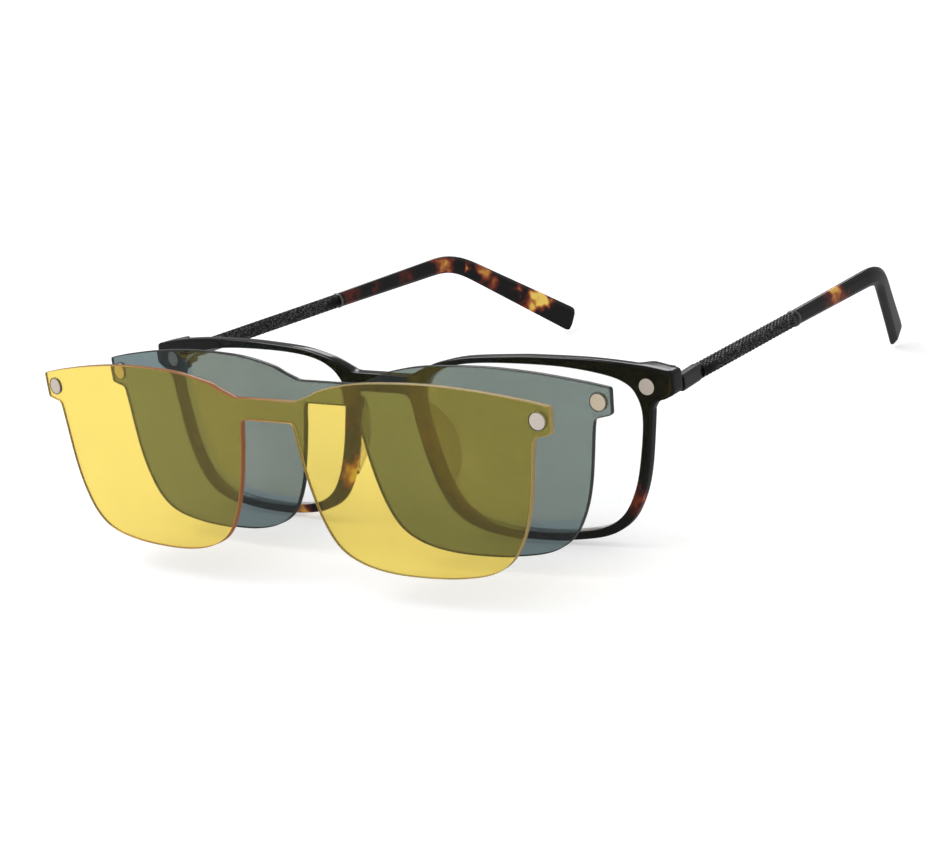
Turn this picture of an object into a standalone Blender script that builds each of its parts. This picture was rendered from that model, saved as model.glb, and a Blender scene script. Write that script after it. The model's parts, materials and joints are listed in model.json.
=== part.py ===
"""Eyeglasses with two magnetic clip-on lens plates, taken apart in a row.

The front, its hinges and the two plates are drawn in the front's own axes:
+X to the right seen from the front, +Y back along the temples, +Z up, with
the origin on the front face at mid bridge, level with the magnets. At the end
the root empty tips and lifts everything until the glasses stand on z = 0.
"""

import math

import bmesh
import bpy
import numpy as np
from mathutils import Matrix, Vector

MM = 0.001

# Clearances
GAP = 0.3 * MM  # between pieces that touch on the real thing
CLIP_GAP = 0.35 * MM  # between a seated plate and what it is seated on

# Front
FACE_RADIUS = 515 * MM  # curve of the front face, seen from above
LENS_WIDTH = 51.2 * MM
LENS_HEIGHT = 34.3 * MM
BRIDGE_GAP = 21.2 * MM  # between the two lens openings
LENS_TOP = 3.9 * MM  # top of the openings above the magnets
RIM_DEPTH = 3.1 * MM
RIM_NOSE = 3.0 * MM
RIM_SIDE = 2.1 * MM
RIM_BOTTOM = 1.8 * MM
RIM_TOP = 1.6 * MM
BRIDGE_TOP = 0.5 * MM
BRIDGE_BOTTOM = -3.3 * MM
END_REACH = 5.3 * MM  # how far an end piece runs out past the rim
END_TOP = 2.9 * MM
END_BOTTOM = -2.7 * MM
END_DEPTH = 4.3 * MM  # end piece, front to back at its outer edge
END_BEVEL = 0.5 * MM
CORNER = 0.8 * MM  # rounding of the front's corners, seen from the front
LENS_THICKNESS = 1.6 * MM
LENS_SET_BACK = 1.0 * MM  # lens behind the front face

# Nose pads
PAD_THICKNESS = 2.2 * MM
PAD_DEPTH = 5.6 * MM  # how far a pad stands out behind the rim
PAD_SPLAY = math.radians(22)

# Magnets
MAGNET_RADIUS = 1.65 * MM
MAGNET_THICKNESS = 1.5 * MM
MAGNET_OUT = 1.6 * MM  # magnet centre outside the lens opening

# Clip-on plates
CLIP_THICKNESS = 1.2 * MM
CLIP_NOSE = 3.7 * MM  # how far a plate covers past the lens opening
CLIP_SIDE = 0.1 * MM
CLIP_BOTTOM = 1.4 * MM
CLIP_TOP = 2.3 * MM
CLIP_BRIDGE_TOP = 1.6 * MM
CLIP_BRIDGE_BOTTOM = -2.9 * MM
CLIP_NOTCH = 2.6 * MM  # where the top edge starts to rise, in from the lens opening
CLIP_CORNER = 0.6 * MM
TAB_WALL = 1.35 * MM  # plate outside the magnet
SUN_TRAVEL = 14.7 * MM
YELLOW_TRAVEL = 17.5 * MM
PULL_RISE = math.radians(4.7)  # the plates come off slightly upwards

# Hinges
SCREW_RADIUS = 0.55 * MM
SCREW_HEAD_RADIUS = 1.15 * MM
SCREW_HEAD_HEIGHT = 0.55 * MM
SCREW_FOOT = 0.3 * MM  # screw below its lowest knuckle
SCREW_EDGE = 0.15 * MM
SLOT_WIDTH = 0.3 * MM
BORE_REACH = 6 * MM  # how far a hinge bore is cut above and below its centre
KNUCKLE_WALL = 0.45 * MM
MIDDLE_KNUCKLE = 1.2 * MM  # height of the temple's knuckle
OUTER_KNUCKLE = 0.95 * MM  # height of each of the front's two knuckles
PLATE_THICKNESS = 0.7 * MM
PLATE_MARGIN = 1.0 * MM  # plate above and below its knuckles
HINGE_DROP = 0.4 * MM  # hinge centre below the magnets

# Temples
BAR_WIDTH = 2.4 * MM
BAR_HEIGHT = 3.3 * MM
BAR_INSET = 0.6 * MM  # bar inside the end piece's outer face
HEAD_LENGTH = 8.7 * MM
HEAD_TURN = math.radians(10.5)
TEMPLE_TURN = math.radians(4.0)  # inwards, towards the tips
TEMPLE_RISE = math.radians(1.2)
SLEEVE_RADIUS = 1.65 * MM
SLEEVE_LENGTH = 40.0 * MM
RING_RADIUS = 1.8 * MM
RING_LENGTH = 0.8 * MM
CORE_RADIUS = 0.8 * MM  # inside the sleeve
WIRE_RADIUS = 0.6 * MM  # inside the tip
WIRE_LENGTH = 38.0 * MM
TIP_STRAIGHT = 31.5 * MM
TIP_BEND = 16.0 * MM
TIP_TAIL = 30.0 * MM
TAIL_TURN = math.radians(25)
TAIL_DROP = math.radians(34)
TAIL_ROLL = math.radians(18)  # tail's lower edge tucked in towards the head
TIP_START = (2.7 * MM, 3.4 * MM)  # thickness and width where the tip starts
TIP_MIDDLE = (2.5 * MM, 4.2 * MM)
TIP_END = (2.2 * MM, 6.4 * MM)
END_ROUNDING = 0.25  # length of the tip's rounded end, as a share of its width
BORE_LEAD = 1 * MM  # wire bore started ahead of the tip

# Fineness
SPAN_STEPS = 2
BEND_STEP = 8 * MM
ROUND_SIDES = 18
WIRE_SIDES = 10
TIP_SIDES = 12
PATH_STEP = 3.6 * MM

# A lens opening's outline, as shares of its width from the nose and its height
LENS_SHAPE = (
    (1.000, 0.700), (0.968, 0.427), (0.930, 0.256), (0.872, 0.125),
    (0.785, 0.048), (0.652, 0.011), (0.496, 0.000), (0.350, 0.009),
    (0.232, 0.046), (0.145, 0.117), (0.086, 0.242), (0.043, 0.413),
    (0.014, 0.598), (0.000, 0.724), (0.012, 0.826), (0.059, 0.909),
    (0.145, 0.966), (0.281, 0.994), (0.477, 1.000), (0.672, 0.989),
    (0.828, 0.957), (0.926, 0.915), (0.980, 0.843),
)
LOWER_PART = slice(0, 14)  # from the outer side down and round to the nose

# Top edges of the front and of a plate, as shares of the way out from the bridge and of the rise
FRONT_CREST = (
    (0.000, 0.00), (0.073, 0.39), (0.128, 0.60), (0.239, 0.86), (0.411, 0.98),
    (0.525, 1.00), (0.711, 0.94), (0.881, 0.74), (1.000, 0.48),
)
CLIP_CREST = (
    (0.000, 0.00), (0.067, 0.30), (0.121, 0.57), (0.248, 0.88), (0.378, 0.99),
    (0.549, 0.99), (0.720, 0.82), (0.890, 0.52), (1.000, 0.26),
)

# Worked out from the sizes above
EYE_IN = BRIDGE_GAP / 2
EYE_OUT = EYE_IN + LENS_WIDTH
EYE_BOTTOM = LENS_TOP - LENS_HEIGHT
RIM_OUT = EYE_OUT + RIM_SIDE
END_U = RIM_OUT + END_REACH
MAGNET_U = EYE_OUT + MAGNET_OUT
TAB_U = MAGNET_U + MAGNET_RADIUS + TAB_WALL
KNUCKLE_RADIUS = SCREW_RADIUS + GAP + KNUCKLE_WALL


def bend(u, depth, z):
    """A point at arc length u along the face and a depth behind it."""
    reach = FACE_RADIUS - depth
    turn = u / FACE_RADIUS
    return Vector((reach * math.sin(turn), FACE_RADIUS - reach * math.cos(turn), z))


END_X = bend(END_U, 0, 0).x
END_BACK = bend(END_U, 0, 0).y + END_DEPTH
BUTT_Y = END_BACK + GAP
BAR_X = END_X - BAR_INSET - BAR_WIDTH / 2
AXIS_Y = END_BACK + GAP + PLATE_THICKNESS + KNUCKLE_RADIUS + 0.1 * MM
AXIS_X = BAR_X - BAR_WIDTH / 2 - (AXIS_Y - BUTT_Y) * math.tan(HEAD_TURN) - KNUCKLE_RADIUS - GAP
HINGE_HALF = MIDDLE_KNUCKLE / 2 + GAP + OUTER_KNUCKLE
PULL = Vector((0, -math.cos(PULL_RISE), math.sin(PULL_RISE)))


# ---------------------------------------------------------------- outlines


def smooth(points, steps=SPAN_STEPS, closed=False):
    """Catmull-Rom curve through the points, with a number of steps per span."""
    p = np.array(points, float)
    if closed:
        p = np.vstack([p[-1], p, p[:2]])
    else:
        p = np.vstack([2 * p[0] - p[1], p, 2 * p[-1] - p[-2]])
    curve = []
    for a, b, c, d in zip(p, p[1:], p[2:], p[3:]):
        for t in np.arange(steps) / steps:
            curve.append(
                0.5 * (2 * b + (c - a) * t + (2 * a - 5 * b + 4 * c - d) * t**2
                       + (3 * b - a - 3 * c + d) * t**3)
            )
    if not closed:
        curve.append(p[-2])
    return np.array(curve)


def cut_back(run, length):
    """The run without its last stretch of the given length."""
    steps = np.linalg.norm(np.diff(run, axis=0), axis=1)
    left = np.cumsum(steps[::-1])[::-1]
    kept = run[:-1][left > length]
    last = len(kept) - 1
    rest = (left[last] - length) / steps[last]
    return np.vstack([kept, run[last] + (run[last + 1] - run[last]) * rest])


def join_runs(runs, radius):
    """One line from runs that meet at corners, with each corner rounded."""
    line = runs[0]
    for run in runs[1:]:
        corner = run[0]
        before = cut_back(line, radius)
        after = cut_back(run[::-1], radius)[::-1]
        arc = [
            (1 - t) ** 2 * before[-1] + 2 * t * (1 - t) * corner + t**2 * after[0]
            for t in (0.33, 0.67)
        ]
        line = np.vstack([before, arc, after])
    return line


def both_sides(half):
    """A closed outline from its right half, which starts and ends at mid bridge."""
    left = half[-2:0:-1] * (-1, 1)
    return np.vstack([half, left])


def fit_shape(nose, side, bottom, top, part=slice(None)):
    """The lens shape with a margin added on its four sides."""
    left, right = EYE_IN - nose, EYE_OUT + side
    low, high = EYE_BOTTOM - bottom, LENS_TOP + top
    return [(left + a * (right - left), low + b * (high - low)) for a, b in LENS_SHAPE[part]]


def crest(shape, start, end_u, top):
    """A top edge that rises from its start at the bridge and runs out to the end."""
    return [(start[0] + a * (end_u - start[0]), start[1] + b * (top - start[1])) for a, b in shape]


def front_half():
    """Right half of the front's outline: bridge, top edge, end piece, rim, bridge."""
    margins = (RIM_NOSE, RIM_SIDE, RIM_BOTTOM, RIM_TOP)
    nose_u = EYE_IN - RIM_NOSE
    corner = (nose_u, BRIDGE_TOP)
    bridge = smooth([(0, BRIDGE_TOP), corner])
    top = smooth(crest(FRONT_CREST, corner, END_U, LENS_TOP + RIM_TOP))
    end = smooth([tuple(top[-1]), (END_U, END_TOP / 3), (END_U, END_BOTTOM + 1.3 * MM)])
    rim = smooth(
        [(END_U, END_BOTTOM + 1.3 * MM), (END_U - 2.0 * MM, END_BOTTOM + 0.3 * MM),
         (RIM_OUT + 1.3 * MM, END_BOTTOM - 0.4 * MM), (RIM_OUT + 0.1 * MM, END_BOTTOM - 2.0 * MM)]
        + fit_shape(*margins, LOWER_PART)
        + [(nose_u - 1.0 * MM, BRIDGE_BOTTOM - 0.3 * MM), (nose_u - 3.0 * MM, BRIDGE_BOTTOM),
           (0, BRIDGE_BOTTOM)]
    )
    return join_runs([bridge, top, end, rim], CORNER)


def clip_half():
    """Right half of a clip-on plate's outline, with its magnet tab."""
    margins = (CLIP_NOSE, CLIP_SIDE, CLIP_BOTTOM, CLIP_TOP)
    notch = (EYE_IN - CLIP_NOTCH, CLIP_BRIDGE_TOP)
    top = smooth(crest(CLIP_CREST, notch, TAB_U, LENS_TOP + CLIP_TOP))
    tab_low = (TAB_U - 0.3 * MM, -MAGNET_RADIUS - 0.8 * MM)
    tab_root = (EYE_OUT + CLIP_SIDE + 0.6 * MM, tab_low[1] - 0.8 * MM)
    nose_low = (EYE_IN - CLIP_NOSE - 0.5 * MM, CLIP_BRIDGE_BOTTOM)
    return join_runs(
        [
            smooth([(0, CLIP_BRIDGE_TOP), notch]),
            top,
            smooth([tuple(top[-1]), tab_low]),
            smooth([tab_low, tab_root]),
            smooth([tab_root] + fit_shape(*margins, LOWER_PART) + [nose_low]),
            smooth([nose_low, (0, CLIP_BRIDGE_BOTTOM)]),
        ],
        CLIP_CORNER,
    )


def circle(u, z, radius):
    angles = np.arange(ROUND_SIDES) * 2 * math.pi / ROUND_SIDES
    return np.stack([u + radius * np.cos(angles), z + radius * np.sin(angles)], axis=1)


# ----------------------------------------------------------------- objects


def clear_scene():
    for obj in list(bpy.data.objects):
        bpy.data.objects.remove(obj, do_unlink=True)


def material(name, color, roughness, metallic=0.0, alpha=1.0):
    mat = bpy.data.materials.new(name)
    mat.use_nodes = True
    shader = mat.node_tree.nodes["Principled BSDF"]
    shader.inputs["Base Color"].default_value = (*color, 1.0)
    shader.inputs["Roughness"].default_value = roughness
    shader.inputs["Metallic"].default_value = metallic
    shader.inputs["Alpha"].default_value = alpha
    return mat


def empty(name, location, parent=None):
    obj = bpy.data.objects.new(name, None)
    bpy.context.collection.objects.link(obj)
    obj.empty_display_size = 5 * MM
    obj.parent = parent
    obj.location = location
    return obj


def add_object(name, bm, mat, parent, origin=Vector()):
    """A closed mesh drawn in the front's axes, hung on an empty at the origin."""
    bmesh.ops.translate(bm, vec=-Vector(origin), verts=bm.verts)
    bmesh.ops.recalc_face_normals(bm, faces=bm.faces)
    mesh = bpy.data.meshes.new(name)
    bm.to_mesh(mesh)
    bm.free()
    obj = bpy.data.objects.new(name, mesh)
    bpy.context.collection.objects.link(obj)
    if mat is not None:
        mesh.materials.append(mat)
    mesh.shade_smooth()
    mesh.set_sharp_from_angle(angle=math.radians(35))
    obj.parent = parent
    return obj


def combine(obj, tool, operation):
    """Joins or cuts with a helper object that the model leaves out."""
    tool.hide_render = True
    tool.display_type = "WIRE"
    step = obj.modifiers.new(tool.name, "BOOLEAN")
    step.object = tool
    step.operation = operation
    step.solver = "EXACT"


def mirrored(bm, side):
    """Turns a right-hand mesh into the left-hand one where side is -1."""
    if side < 0:
        bmesh.ops.scale(bm, vec=(-1, 1, 1), verts=bm.verts)
    return bm


def sheet(outline, holes, front, back):
    """A plate of a flat outline between two depths, bent to the face's curve."""
    bm = bmesh.new()
    for loop in [outline, *holes]:
        verts = [bm.verts.new((u, front, z)) for u, z in loop]
        for a, b in zip(verts, verts[1:] + verts[:1]):
            bm.edges.new((a, b))
    bmesh.ops.triangle_fill(bm, use_beauty=True, edges=bm.edges[:])
    skin = bmesh.ops.extrude_face_region(bm, geom=bm.faces[:])
    moved = [v for v in skin["geom"] if isinstance(v, bmesh.types.BMVert)]
    bmesh.ops.translate(bm, vec=(0, back - front, 0), verts=moved)
    reach = max(abs(u) for u, z in outline)
    for u in np.arange(-math.floor(reach / BEND_STEP), math.floor(reach / BEND_STEP) + 1) * BEND_STEP:
        bmesh.ops.bisect_plane(
            bm, geom=bm.verts[:] + bm.edges[:] + bm.faces[:], dist=1e-6,
            plane_co=(u + 0.1 * MM, 0, 0), plane_no=(1, 0, 0),
        )
    for v in bm.verts:
        v.co = bend(*v.co)
    bmesh.ops.triangulate(bm, faces=bm.faces[:])
    return bm


def block(low, high, bevel=0.0):
    """A box between two corners, with all its edges bevelled."""
    bm = bmesh.new()
    size = Vector(high) - Vector(low)
    centre = (Vector(high) + Vector(low)) / 2
    matrix = Matrix.Translation(centre) @ Matrix.Diagonal((*size, 1))
    bmesh.ops.create_cube(bm, size=1, matrix=matrix)
    if bevel:
        bmesh.ops.bevel(bm, geom=bm.edges[:], offset=bevel, segments=2, profile=0.5, affect="EDGES")
    return bm


def skin_rings(rings):
    """A closed tube through rings of points, with flat ends."""
    bm = bmesh.new()
    rows = [[bm.verts.new(p) for p in ring] for ring in rings]
    for a, b in zip(rows, rows[1:]):
        for k in range(len(a)):
            bm.faces.new((a[k - 1], a[k], b[k], b[k - 1]))
    bm.faces.new(rows[0])
    bm.faces.new(rows[-1])
    bmesh.ops.triangulate(bm, faces=bm.faces[:])
    return bm


def turned(profile, base, axis, sides=ROUND_SIDES, bored=False):
    """Points (radius, height) of a profile turned about an axis from its base."""
    along = Vector(axis).normalized()
    across = along.orthogonal().normalized()
    up = along.cross(across)
    angles = [2 * math.pi * k / sides for k in range(sides)]
    bm = bmesh.new()
    rows = [
        [bm.verts.new(Vector(base) + along * h + (across * math.cos(a) + up * math.sin(a)) * r)
         for a in angles]
        for r, h in profile
    ]
    pairs = list(zip(rows, rows[1:])) + ([(rows[-1], rows[0])] if bored else [])
    for a, b in pairs:
        for k in range(sides):
            bm.faces.new((a[k - 1], a[k], b[k], b[k - 1]))
    if not bored:
        bm.faces.new(rows[0])
        bm.faces.new(rows[-1])
    bmesh.ops.triangulate(bm, faces=bm.faces[:])
    return bm


def cylinder(radius, base, axis, length, sides=ROUND_SIDES):
    return turned([(radius, 0), (radius, length)], base, axis, sides)


# ------------------------------------------------------------------- front


def face_normal(u):
    """Outward normal of the face at arc length u."""
    return Vector((math.sin(u / FACE_RADIUS), -math.cos(u / FACE_RADIUS), 0))


def magnet(name, side, depth, thickness, mat, parent):
    """A disc set flush in the face at the given depth, with chamfered edges."""
    edge = 0.15 * MM
    normal = face_normal(MAGNET_U)
    base = bend(MAGNET_U, depth + thickness, 0)
    profile = [(MAGNET_RADIUS - edge, 0), (MAGNET_RADIUS, edge),
               (MAGNET_RADIUS, thickness - edge), (MAGNET_RADIUS - edge, thickness)]
    bm = turned(profile, base, normal)
    return add_object(name, mirrored(bm, side), mat, parent)


def build_front(parent, mats):
    """The one-piece front with its two openings, end pieces and magnet pockets."""
    openings = [smooth(fit_shape(0, 0, 0, 0), closed=True) * (side, 1) for side in (1, -1)]
    bm = sheet(both_sides(front_half()), openings, 0, RIM_DEPTH)
    front = add_object("front_frame", bm, mats["acetate"], parent)
    for side, word in ((1, "right"), (-1, "left")):
        low = (bend(EYE_OUT, 0, 0).x + GAP, bend(EYE_OUT, RIM_DEPTH, 0).y - 1.6 * MM, END_BOTTOM + 0.3 * MM)
        high = (END_X - 0.35 * MM, END_BACK, END_TOP - 0.2 * MM)
        end = add_object(f"end_block_{word}", mirrored(block(low, high, END_BEVEL), side), None, parent)
        combine(front, end, "UNION")
        pocket = cylinder(
            MAGNET_RADIUS + GAP, bend(MAGNET_U, MAGNET_THICKNESS + GAP, 0), face_normal(MAGNET_U),
            MAGNET_THICKNESS + GAP + 1 * MM,
        )
        cut = add_object(f"magnet_pocket_{word}", mirrored(pocket, side), None, parent)
        combine(front, cut, "DIFFERENCE")
        magnet(f"frame_magnet_{word}", side, 0, MAGNET_THICKNESS, mats["magnet"], parent)
        lens = sheet(
            smooth(fit_shape(-GAP, -GAP, -GAP, -GAP), closed=True), [],
            LENS_SET_BACK, LENS_SET_BACK + LENS_THICKNESS,
        )
        add_object(f"lens_{word}", mirrored(lens, side), mats["clear"], parent)
        add_object(f"nose_pad_{word}", mirrored(nose_pad(), side), mats["pad"], parent)


def nose_pad():
    """A half-moon fin behind the nose side of the rim, leaning out as it goes back."""
    half = RIM_NOSE / 2
    middle = fit_shape(half, RIM_SIDE / 2, RIM_BOTTOM / 2, RIM_TOP / 2, slice(10, 14))
    spine = smooth(middle, 3)
    count = len(spine)
    rings = []
    for k, (u, z) in enumerate(spine):
        swell = math.sin(math.pi * (k + 0.6) / (count + 0.2)) ** 0.7
        depth = PAD_DEPTH * swell
        thick = PAD_THICKNESS * (0.55 + 0.45 * swell)
        root = bend(u, RIM_DEPTH + GAP, z)
        ring = []
        for a in np.arange(10) * 2 * math.pi / 10:
            back = depth * 0.5 * (1 - math.cos(a))
            out = 0.5 * thick * math.sin(a) + back * math.tan(PAD_SPLAY) - 0.25 * RIM_NOSE
            ring.append(root + Vector((out, back, 0)))
        rings.append(ring)
    return skin_rings(rings)


# ------------------------------------------------------------------ hinges


def hinge_bore():
    """The screw's hole, cut up and down through every knuckle."""
    foot = (AXIS_X, AXIS_Y, -HINGE_DROP - BORE_REACH)
    return cylinder(SCREW_RADIUS + GAP, foot, (0, 0, 1), 2 * BORE_REACH)


def hinge_plate(side, word, parent, mats):
    """The plate on the back of an end piece, with its upper and lower knuckle."""
    centre = -HINGE_DROP
    low = (AXIS_X - KNUCKLE_RADIUS, END_BACK + GAP, centre - HINGE_HALF - PLATE_MARGIN)
    high = (AXIS_X + KNUCKLE_RADIUS, END_BACK + GAP + PLATE_THICKNESS, centre + HINGE_HALF + PLATE_MARGIN)
    plate = add_object(f"hinge_plate_{word}", mirrored(block(low, high), side), mats["gunmetal"], parent)
    for level, start in (("upper", centre + MIDDLE_KNUCKLE / 2 + GAP), ("lower", centre - HINGE_HALF)):
        foot = block(
            (AXIS_X - KNUCKLE_RADIUS, END_BACK + GAP + PLATE_THICKNESS / 2, start),
            (AXIS_X + KNUCKLE_RADIUS, AXIS_Y, start + OUTER_KNUCKLE),
        )
        tool = add_object(f"{level}_foot_{word}", mirrored(foot, side), None, parent)
        combine(plate, tool, "UNION")
        barrel = cylinder(KNUCKLE_RADIUS, (AXIS_X, AXIS_Y, start), (0, 0, 1), OUTER_KNUCKLE)
        tool = add_object(f"{level}_barrel_{word}", mirrored(barrel, side), None, parent)
        combine(plate, tool, "UNION")
    tool = add_object(f"plate_bore_{word}", mirrored(hinge_bore(), side), None, parent)
    combine(plate, tool, "DIFFERENCE")


def hinge_screw(side, word, parent, mats):
    """The screw down through the three knuckles, with a slotted head."""
    foot = -HINGE_DROP - HINGE_HALF - SCREW_FOOT
    neck = 2 * HINGE_HALF + SCREW_FOOT + GAP
    top = neck + SCREW_HEAD_HEIGHT
    profile = [(SCREW_RADIUS * 0.7, 0), (SCREW_RADIUS, SCREW_EDGE), (SCREW_RADIUS, neck),
               (SCREW_HEAD_RADIUS, neck), (SCREW_HEAD_RADIUS, top - SCREW_EDGE),
               (SCREW_HEAD_RADIUS * 0.8, top)]
    bm = turned(profile, (AXIS_X, AXIS_Y, foot), (0, 0, 1))
    screw = add_object(f"hinge_screw_{word}", mirrored(bm, side), mats["steel"], parent)
    reach = SCREW_HEAD_RADIUS * 1.2
    slot = block(
        (AXIS_X - SLOT_WIDTH / 2, AXIS_Y - reach, foot + top - SCREW_HEAD_HEIGHT / 2),
        (AXIS_X + SLOT_WIDTH / 2, AXIS_Y + reach, foot + top + 1 * MM),
    )
    tool = add_object(f"screw_slot_{word}", mirrored(slot, side), None, parent)
    combine(screw, tool, "DIFFERENCE")


# ----------------------------------------------------------------- temples


def heading(turn, rise):
    """Direction that turns inwards from +Y and rises towards +Z."""
    return Vector((-math.sin(turn) * math.cos(rise), math.cos(turn) * math.cos(rise), math.sin(rise)))


HEAD_START = Vector((BAR_X, BUTT_Y, -HINGE_DROP))
HEAD_END = HEAD_START + heading(HEAD_TURN, 0) * HEAD_LENGTH
STRAIGHT = heading(TEMPLE_TURN, TEMPLE_RISE)
TAIL = heading(TAIL_TURN, -TAIL_DROP)
SLEEVE_START = HEAD_END + STRAIGHT * GAP
RING_START = SLEEVE_START + STRAIGHT * (SLEEVE_LENGTH + GAP)
TIP_FRONT = RING_START + STRAIGHT * (RING_LENGTH + GAP)
TIP_LENGTH = TIP_STRAIGHT + TIP_BEND + TIP_TAIL


def tip_path(length, start=0.0):
    """Points and headings down the middle of the tip: straight, then a smooth bend, then the tail."""
    count = max(2, math.ceil((length - start) / PATH_STEP)) + 1
    marks = np.linspace(start, length, count)
    fine = np.linspace(0, max(length, 1e-4), 400)
    share = np.clip((fine - TIP_STRAIGHT) / TIP_BEND, 0, 1)
    share = share * share * (3 - 2 * share)
    dirs = np.outer(1 - share, STRAIGHT) + np.outer(share, TAIL)
    dirs /= np.linalg.norm(dirs, axis=1)[:, None]
    steps = (dirs[1:] + dirs[:-1]) / 2 * np.diff(fine)[:, None]
    places = np.vstack([np.zeros(3), np.cumsum(steps, axis=0)]) + np.array(TIP_FRONT)
    points, ways = [], []
    for s in marks:
        if s < 0:
            points.append(TIP_FRONT + STRAIGHT * s)
            ways.append(STRAIGHT)
        else:
            points.append(Vector([np.interp(s, fine, places[:, k]) for k in range(3)]))
            ways.append(Vector([np.interp(s, fine, dirs[:, k]) for k in range(3)]).normalized())
    return marks, points, ways


def section(point, way, width, height, outline, roll=0.0):
    """An outline laid across the path: width sideways, height upright, both rolled about the path."""
    across = way.cross(Vector((0, 0, 1))).normalized()
    across.rotate(Matrix.Rotation(roll, 3, way))
    up = across.cross(way).normalized()
    return [point + across * (a * width / 2) + up * (b * height / 2) for a, b in outline]


def rounded_outline(sides, power):
    """Points round |a|^power + |b|^power = 1."""
    angles = [2 * math.pi * (k + 0.5) / sides for k in range(sides)]
    return [
        (math.copysign(abs(math.cos(t)) ** (2 / power), math.cos(t)),
         math.copysign(abs(math.sin(t)) ** (2 / power), math.sin(t)))
        for t in angles
    ]


def temple_arm(side, word, hinge, mats):
    """Flat head with its knuckle, and the core rod and wire that run back from it."""
    outline = [(1, 0.6), (0.6, 1), (-0.6, 1), (-1, 0.6), (-1, -0.6), (-0.6, -1), (0.6, -1), (1, -0.6)]
    way = heading(HEAD_TURN, 0)
    head = skin_rings([section(p, way, BAR_WIDTH, BAR_HEIGHT, outline) for p in (HEAD_START, HEAD_END)])
    origin = (side * AXIS_X, AXIS_Y, -HINGE_DROP)
    arm = add_object(f"temple_arm_{word}", mirrored(head, side), mats["gunmetal"], hinge, origin)
    half = MIDDLE_KNUCKLE / 2
    lug = block((AXIS_X, AXIS_Y - 0.7 * MM, -HINGE_DROP - half), (BAR_X, AXIS_Y + 0.9 * MM, -HINGE_DROP + half))
    barrel = cylinder(KNUCKLE_RADIUS, (AXIS_X, AXIS_Y, -HINGE_DROP - half), (0, 0, 1), MIDDLE_KNUCKLE)
    marks, points, ways = tip_path(WIRE_LENGTH)
    circle_points = rounded_outline(WIRE_SIDES, 2)
    thick, thin = 2 * CORE_RADIUS, 2 * WIRE_RADIUS
    stations = [(HEAD_END - STRAIGHT * 2 * MM, STRAIGHT, thick), (TIP_FRONT - STRAIGHT * GAP, STRAIGHT, thick)]
    stations += [(p, w, thin) for p, w in zip(points[1:], ways[1:])]
    rod = skin_rings([section(p, w, size, size, circle_points) for p, w, size in stations])
    for name, tool in (("lug", lug), ("knuckle", barrel), ("core", rod)):
        combine(arm, add_object(f"{name}_{word}", mirrored(tool, side), None, hinge, origin), "UNION")
    bore = add_object(f"knuckle_bore_{word}", mirrored(hinge_bore(), side), None, hinge, origin)
    combine(arm, bore, "DIFFERENCE")


def tip_size(mark, k):
    """Thickness (k = 0) or width (k = 1) of the tip at a length along it."""
    knots = (0, TIP_STRAIGHT + TIP_BEND / 2, TIP_LENGTH)
    return float(np.interp(mark, knots, (TIP_START[k], TIP_MIDDLE[k], TIP_END[k])))


def temple_tip(side, word, hinge, mats):
    """The acetate tip, bored from its front end for the core wire, with a squared tail end."""
    run = TIP_END[1] * END_ROUNDING
    marks, points, ways = tip_path(TIP_LENGTH - run)
    outline = rounded_outline(TIP_SIDES, 3.2)
    rings = []
    for s, point, way in zip(marks, points, ways):
        share = min(max((s - TIP_STRAIGHT) / TIP_BEND, 0), 1)
        roll = TAIL_ROLL * share * share * (3 - 2 * share)
        rings.append(section(point, way, tip_size(s, 0), tip_size(s, 1), outline, roll))
    last, way = points[-1], ways[-1]
    for t in (0.35, 0.65, 0.87, 0.98):
        shrink = (1 - t**3) ** (1 / 3)
        size = (tip_size(TIP_LENGTH, 0) * (0.3 + 0.7 * shrink), tip_size(TIP_LENGTH, 1) * shrink)
        rings.append(section(last + way * (run * t), way, *size, outline, TAIL_ROLL))
    origin = (side * AXIS_X, AXIS_Y, -HINGE_DROP)
    tip = add_object(f"temple_tip_{word}", mirrored(skin_rings(rings), side), mats["acetate"], hinge, origin)
    marks, points, ways = tip_path(WIRE_LENGTH + GAP, -BORE_LEAD)
    size = 2 * (WIRE_RADIUS + GAP)
    bore = skin_rings([section(p, w, size, size, rounded_outline(WIRE_SIDES, 2)) for p, w in zip(points, ways)])
    combine(tip, add_object(f"wire_bore_{word}", mirrored(bore, side), None, hinge, origin), "DIFFERENCE")


def temple_tubes(side, word, hinge, mats):
    """The knurled sleeve and the end ring, slid over the core rod."""
    origin = (side * AXIS_X, AXIS_Y, -HINGE_DROP)
    inner = CORE_RADIUS + GAP
    for name, base, outer, length, mat in (
        ("knurled_sleeve", SLEEVE_START, SLEEVE_RADIUS, SLEEVE_LENGTH, "gunmetal"),
        ("end_ring", RING_START, RING_RADIUS, RING_LENGTH, "steel"),
    ):
        profile = [(inner, 0), (outer, 0), (outer, length), (inner, length)]
        bm = turned(profile, base, STRAIGHT, bored=True)
        add_object(f"{name}_{word}", mirrored(bm, side), mats[mat], hinge, origin)


# ------------------------------------------------------------------- clips


def build_clip(word, front, mat, parent, mats):
    """A one-piece plate for both eyes, with a magnet through each outer tab."""
    holes = [circle(side * MAGNET_U, 0, MAGNET_RADIUS + GAP) for side in (1, -1)]
    bm = sheet(both_sides(clip_half()), holes, front, front + CLIP_THICKNESS)
    add_object(f"{word}_plate", bm, mats[mat], parent)
    for side, hand in ((1, "right"), (-1, "left")):
        magnet(f"{word}_magnet_{hand}", side, front, CLIP_THICKNESS, mats["magnet"], parent)


# ------------------------------------------------------------- whole object


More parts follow.
